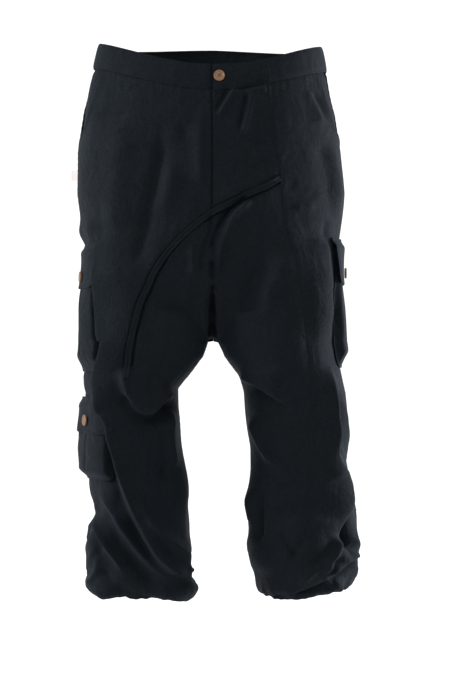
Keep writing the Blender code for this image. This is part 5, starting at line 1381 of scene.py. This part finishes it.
for pocket in pockets:
    s, sign, width = pocketShape, pocket["sign"], pocket["width"]
    mouth = pocket["top"] - s["mouth"]
    tallness = mouth - pocket["bottom"]
    stepAcross, stepDown = s["steps"]
    a, d = np.meshgrid(allSteps(mixedSteps(s["marks"], stepAcross / width), (-0.5, -0.42, 9), (0.42, 0.5, 9)),
                       allSteps((0, 0.86, int(tallness * 0.86 / stepDown)), (0.86, 1.0, 12)))
    rowWidth = width - 2.0 * cornerCut((1.0 - d) * tallness, s["corner"])
    turns, tall = placeOn(pocket, a, d, mouth, pocket["bottom"], rowWidth)
    side = ease((0.5 - np.abs(a)) / s["side"])
    foot = ease((1.0 - d) / s["foot"])
    body = s["lift"] + bellowsDepth(pocket, tall) * np.minimum(side, foot)
    pleat = -s["pleat"][0] * bell(a * width, s["pleat"][1]) * foot
    bulge = s["bulge"] * np.sin(np.pi * np.clip((a + 0.42) / 0.84, 0, 1)) * np.sin(np.pi * d) * side
    wrinkle = s["wrinkle"] * np.sin(a * 9.0 + d * 7.0 + sign) * np.sin(d * 11.0 + 1.3) * side * foot
    depth, wide, place = s["groove"]
    groove = -depth * bell((np.abs(a) - place) * width, wide) * foot
    points, guide = clothPoint(sign, turns, tall, body + pleat + bulge + wrinkle + groove, False)
    cutWidth, cutHeight = width + s["turnedIn"][0], tallness + s["turnedIn"][1]
    piece = clothPiece("cargoPocket" + pocket["name"], "cargo_pocket_" + pocket["node"], points, guide,
                       (cutWidth * mm, cutHeight * mm), cutWidth * cutHeight * 1e-6, "laid",
                       ("rightFront" if sign < 0 else "leftSideFront",), wall=s["wall"])
    for edge in ("left", "right"):
        topstitch(piece, edge, (15.5, 20.0), 0.02, 0.9)

    f, flap = flapShape, pocket["flap"]
    width += f["wider"]
    stepAcross, stepDown = f["steps"]
    a, d = np.meshgrid(np.linspace(-0.5, 0.5, int(width / stepAcross)),
                       allSteps((0, 1, int(flap / stepDown)), (0.94, 1.0, 5)))
    remaining, down = (1.0 - d) * flap, d * flap
    rowWidth = width - 2.0 * cornerCut(remaining, f["corner"])
    turns, tall = placeOn(pocket, a, d, pocket["top"], pocket["top"] - flap, rowWidth)
    start, length = f["head"]
    body = f["lift"] + (bellowsDepth(pocket, tall) + f["clear"]) * ease((down - start) / length)
    # nearest edge, where the flap's top counts only close by
    edge = np.minimum(np.minimum((0.5 - np.abs(a)) * rowWidth, remaining), down + 30 * (down > 20))
    depth, wide, place = f["groove"]
    roll = -f["roll"][0] * bell(edge, f["roll"][1]) - depth * bell(edge - place, wide)
    curl = f["curl"] * np.sin(a * 7.0 + sign) * d * d - f["tuckedEnds"] * (np.abs(a) * 2) ** 4 * d
    dimple = -f["dimple"][0] * bell(np.hypot(a * rowWidth, down - pocket["drop"]), f["dimple"][1])
    points, guide = clothPoint(sign, turns, tall, body + roll + curl + dimple, False)
    piece = clothPiece("cargoFlap" + pocket["name"], "cargo_flap_" + pocket["node"], points, guide,
                       (width * mm, (flap + 8) * mm), None, "laid", ("cargoPocket" + pocket["name"],),
                       wall=f["wall"])
    for edge in ("left", "right", "bottom"):
        topstitch(piece, edge, (5.5,), 0.04, 0.96)
print("stage: pockets ready")

# gathered ankle casings
casing = {
    "height": 14.0,
    "wall": 2.2,
    "steps": 240,
    "rows": 7,
    "inside": 1.8,  # how far inside the hem they lie, and below its inner edge
    "below": 0.6,
    "gathers": (14, 31),  # number round the ankle of two ripples, and their heights
    "ripple": (0.8, 0.28),
    "swell": 0.9,
}
for name, node, sign in (("rightAnkleCasing", "ankle_casing_right", -1),
                         ("leftAnkleCasing", "ankle_casing_left", 1)):
    angle = np.linspace(0, 2 * math.pi, casing["steps"] + 1)[:-1]
    drop = np.linspace(0, 1, casing["rows"])[:, None]
    many, more = casing["gathers"]
    wave = casing["ripple"][0] * np.sin(many * angle) + casing["ripple"][1] * np.sin(more * angle + sign)
    radius = g["ankleRadius"] - casing["inside"] + wave + casing["swell"] * np.sin(math.pi * drop)
    x, y = g["ankles"][sign]
    top = rollRows[-1, 2] - casing["below"]
    points = np.stack((x + radius * np.cos(angle), y + radius * np.sin(angle),
                       np.broadcast_to(top - casing["height"] * drop, radius.shape)), -1)
    points = np.concatenate((points, points[:, :1]), 1)
    guide = points - np.array((x, y, 0.0))
    guide[..., 2] = 0.0
    guide /= np.linalg.norm(guide, axis=-1, keepdims=True)
    piece = clothPiece(name, node, points, guide, (0.295, 0.014), None, "gathered", (), wall=casing["wall"])
    # first and last column become one, so the ring is closed
    merged = bmesh.new()
    merged.from_mesh(piece["object"].data)
    bmesh.ops.remove_doubles(merged, verts=merged.verts, dist=0.00001)
    for edge in merged.edges:
        edge.smooth = True
    merged.to_mesh(piece["object"].data)
    merged.free()

# blank tab in the side seam
tab = {"reach": 11.0, "height": 18.0, "wall": 0.7, "middle": -199.0, "wave": 0.3}
base = clothPoint(-1, np.array([0.5]), np.array([tab["middle"]]))[0][0]
out, up = np.meshgrid(np.linspace(0.5, tab["reach"] + 0.3, 9),
                      np.linspace(tab["height"] / 2, -tab["height"] / 2, 13))
wave = tab["wave"] * np.sin(out / 4.0) * np.cos(up / 9.0)
points = base + np.stack((-out, wave, up), -1)
clothPiece("sideTab", "side_tag", points, np.broadcast_to((0.0, -1.0, 0.0), points.shape),
           (0.0115, 0.018), None, "laid", (), wall=tab["wall"], material=ribbon, slotName="white_tag")

# rows of stitches: piece, edge, how far in, and what share of the edge they run along
single, double = (3.0,), (2.0, 8.0)
for row in ((rightFront, "left", (7.0,), 0.0, 0.24), (leftSide, "left", double, 0.0, 0.92),
            (rightFront, "right", double, 0.0, 0.16), (leftSide, "right", double, 0.0, 0.16),
            (bandLeft, "top", single), (bandLeft, "bottom", single),
            (bandRight, "top", single, 0.12), (bandRight, "bottom", single, 0.12),
            (bandBack, "top", single), (bandBack, "bottom", single), (flyFront, "left", (2.0,)),
            (backs[-1], "left", double, 0.0, 0.92), (backs[1], "left", double, 0.0, 0.92),
            (backs[-1], "right", double, 0.0, 0.42)):
    topstitch(*row)

# worked buttonhole in the band, beside the waist button
buttonhole = {"from": 25.0, "to": 39.0, "height": -27.5, "half": 2.1, "step": 1.0, "lift": 1.1}
rows = []
for number, x in enumerate(np.arange(buttonhole["from"], buttonhole["to"], buttonhole["step"])):
    z = buttonhole["height"] + buttonhole["half"] * (1 if number % 2 else -1)
    rows.append(np.concatenate(frontPoint(x, z, band["proud"] + buttonhole["lift"])))
stitchLines.append(np.array(rows))

# coconut buttons, each with two bars of thread over it
threadBar = {"apart": 1.5, "reach": 1.8, "sink": 0.2}
for node in ("button_waist", "button_upper_right", "button_lower_right", "button_left"):
    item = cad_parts[node]
    item.data.materials.clear()
    item.data.materials.append(shell)
    spread = np.array([tuple(item.matrix_world @ v.co) for v in item.data.vertices]) / mm
    middle = spread.mean(0)
    axes = np.linalg.svd(spread - middle, full_matrices=False)[2]
    out = axes[2] if (middle - np.array((g["centreX"], 0.0, middle[2]))) @ axes[2] > 0 else -axes[2]
    top = middle + out * (((spread - middle) @ out).max() - threadBar["sink"])
    along = np.cross(out, (0.0, 0.0, 1.0))
    along /= np.linalg.norm(along)
    across = np.cross(out, along)
    for side in (-threadBar["apart"], threadBar["apart"]):
        ends = [top + across * side + along * reach for reach in (-threadBar["reach"], threadBar["reach"])]
        stitchLines.append(np.array([np.concatenate((end, out)) for end in ends]))
print("stage: buttons ready")

stitch = {"pitch": 3.3, "length": 2.5, "thickness": 0.5, "sink": 0.12}


# place, way and up vector of every stitch along the lines
def stitchSeeds(lines):
    made = []
    for rows in lines:
        run = runAlong(rows[:, :3], 0)
        wanted = (np.arange(int(run[-1] / stitch["pitch"])) + 0.5) * stitch["pitch"]
        at, ahead, behind = (readAt(wanted + shift, run, rows) for shift in (0.0, 1.0, -1.0))
        up = at[:, 3:] / np.linalg.norm(at[:, 3:], axis=1, keepdims=True)
        made.append((at[:, :3] + up * stitch["sink"], (ahead - behind)[:, :3], up))
    return [np.vstack(part) for part in zip(*made)]


# points that carry a way and an up vector become small rounded stitches
def stitchTree():
    tree = bpy.data.node_groups.new("stitches along seams", "GeometryNodeTree")
    keys = {}
    for label, side, kind in (("Geometry", "INPUT", "Geometry"), ("Stitch length", "INPUT", "Float"),
                              ("Thread thickness", "INPUT", "Float"), ("Geometry", "OUTPUT", "Geometry")):
        socket = tree.interface.new_socket(label, in_out=side, socket_type="NodeSocket" + kind)
        keys[label] = socket.identifier
    given = addNode(tree, "NodeGroupInput").outputs
    form = addNode(tree, "GeometryNodeMeshUVSphere", Segments=5, Rings=4, Radius=0.5)
    size = addNode(tree, "ShaderNodeCombineXYZ", X=given["Stitch length"], Y=given["Thread thickness"],
                   Z=given["Thread thickness"])
    way, up = (addNode(tree, "GeometryNodeInputNamedAttribute", {"data_type": "FLOAT_VECTOR"}, Name=name)
               for name in ("way", "up"))
    first = addNode(tree, "FunctionNodeAlignRotationToVector", {"axis": "X"}, Vector=way.outputs["Attribute"])
    second = addNode(tree, "FunctionNodeAlignRotationToVector", {"axis": "Z", "pivot_axis": "X"},
                     Rotation=first.outputs["Rotation"], Vector=up.outputs["Attribute"])
    turned = addNode(tree, "GeometryNodeTransform", Geometry=form.outputs["Mesh"],
                     Rotation=(0.0, math.pi / 2, 0.0))
    placed = addNode(tree, "GeometryNodeInstanceOnPoints", Points=given["Geometry"],
                     Instance=turned.outputs["Geometry"], Rotation=second.outputs["Rotation"],
                     Scale=size.outputs["Vector"])
    real = addNode(tree, "GeometryNodeRealizeInstances", Geometry=placed.outputs["Instances"])
    painted = addNode(tree, "GeometryNodeSetMaterial", Geometry=real.outputs["Geometry"], Material=thread)
    addNode(tree, "NodeGroupOutput", Geometry=painted.outputs["Geometry"])
    return tree, keys


spots, ways, ups = stitchSeeds(stitchLines)
seeds = bpy.data.meshes.new("stitch seeds")
seeds.from_pydata((spots * mm).tolist(), [], [])
for key, values in (("way", ways), ("up", ups)):
    layer = seeds.attributes.new(key, "FLOAT_VECTOR", "POINT")
    layer.data.foreach_set("vector", values.astype(np.float32).ravel())
seedObject = newObject("stitch seeds", seeds)
tree, keys = stitchTree()
maker = seedObject.modifiers.new("stitches", "NODES")
maker.node_group = tree
maker[keys["Stitch length"]] = stitch["length"] * mm
maker[keys["Thread thickness"]] = stitch["thickness"] * mm
made = bpy.data.meshes.new_from_object(seedObject.evaluated_get(bpy.context.evaluated_depsgraph_get()))
made.name = "topstitching"
made.shade_smooth()
stitching = newObject("topstitching", made)
bpy.data.objects.remove(seedObject)
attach(stitching, "root")
print("stage:", len(spots), "stitches ready,", len(made.polygons), "faces")

# round studio cove, light and camera
studio = {
    "floorHeight": -1.035,
    "floor": "#9a9a99",
    "floorGlow": 0.8,
    "coveReach": 4.0,
    "coveRadius": 2.0,
    "wallHeights": (3.5, 6.0),
    "spokes": 72,
    "sky": "#ffffff",
    "skyStrength": 0.25,
    "camera": (0.031, -3.2, -0.488),
    "lens": 97.5,
    "sensor": 36.0,
    "nearest": 0.05,
}
reach, radius, spokes = studio["coveReach"], studio["coveRadius"], studio["spokes"]
cove = [(r, 0.0) for r in np.arange(1.0, reach + 1.0)]
cove += [(reach + radius * math.sin(a), radius - radius * math.cos(a))
         for a in np.linspace(0.15, math.pi / 2, 11)]
cove += [(reach + radius, height) for height in studio["wallHeights"]]
out, up = (np.array(part)[:, None] for part in zip(*cove))
angle = np.linspace(0, 2 * math.pi, spokes + 1)[:-1]
spun = np.stack((out * np.cos(angle), out * np.sin(angle), np.broadcast_to(up, (len(cove), spokes))), -1)
index = np.arange(1, len(cove) * spokes + 1).reshape(-1, spokes)
after = np.roll(index, -1, 1)
fan = [(0, a, b) for a, b in zip(index[0].tolist(), after[0].tolist())]
quads = np.stack((index[:-1], index[1:], after[1:], after[:-1]), -1).reshape(-1, 4).tolist()
floorMesh = bpy.data.meshes.new("studio cove")
lowest = np.array((0.0, 0.0, studio["floorHeight"]))
floorMesh.from_pydata([lowest.tolist()] + (spun.reshape(-1, 3) + lowest).tolist(), [], fan + quads)
floorMesh.shade_smooth()
# matt white paint, a little lit from within so that it stays plain
paint = newMaterial("painted studio floor", Base_Color=linear(studio["floor"]), Roughness=0.8,
                    Emission_Color=linear("#ffffff"), Emission_Strength=studio["floorGlow"])[0]
floorMesh.materials.append(paint)
newObject("studio cove", floorMesh)

world = bpy.data.worlds.new("white studio")
world.use_nodes = True
feed(world.node_tree, world.node_tree.nodes["Background"], Color=linear(studio["sky"]),
     Strength=studio["skyStrength"])
scene.world = world

# soft boxes: name, place, aim, size, watts, colour
lights = (
    ("left side", (-2.6, -0.35, 0.3), (0, 0, -0.5), (0.6, 1.6), 82, "#f4f8ff"),
    ("right side", (2.5, 0.5, -0.6), (0, 0, -0.6), (0.6, 1.6), 158, "#f4f8ff"),
    ("front", (-1.5, -3.0, 1.4), (0, 0, -0.55), (0.9, 0.7), 38, "#ffffff"),
    ("top", (0.2, -0.6, 2.3), (0, 0, -0.4), (1.0, 0.8), 24, "#ffffff"),
)
for name, place, aim, size, watts, colour in lights:
    light = bpy.data.lights.new(name, "AREA")
    light.shape = "RECTANGLE"
    light.size, light.size_y = size
    light.energy = watts
    light.color = linear(colour)[:3]
    item = newObject(name, light)
    item.location = place
    item.rotation_euler = (Vector(aim) - Vector(place)).to_track_quat("-Z", "Y").to_euler()

view = bpy.data.cameras.new("camera")
view.lens = studio["lens"]
view.sensor_width = studio["sensor"]
view.clip_start = studio["nearest"]
camera = newObject("camera", view)
camera.location = studio["camera"]
camera.rotation_euler = (math.pi / 2, 0.0, 0.0)
scene.camera = camera
scene.view_settings.view_transform = "Standard"

bpy.context.view_layer.update()
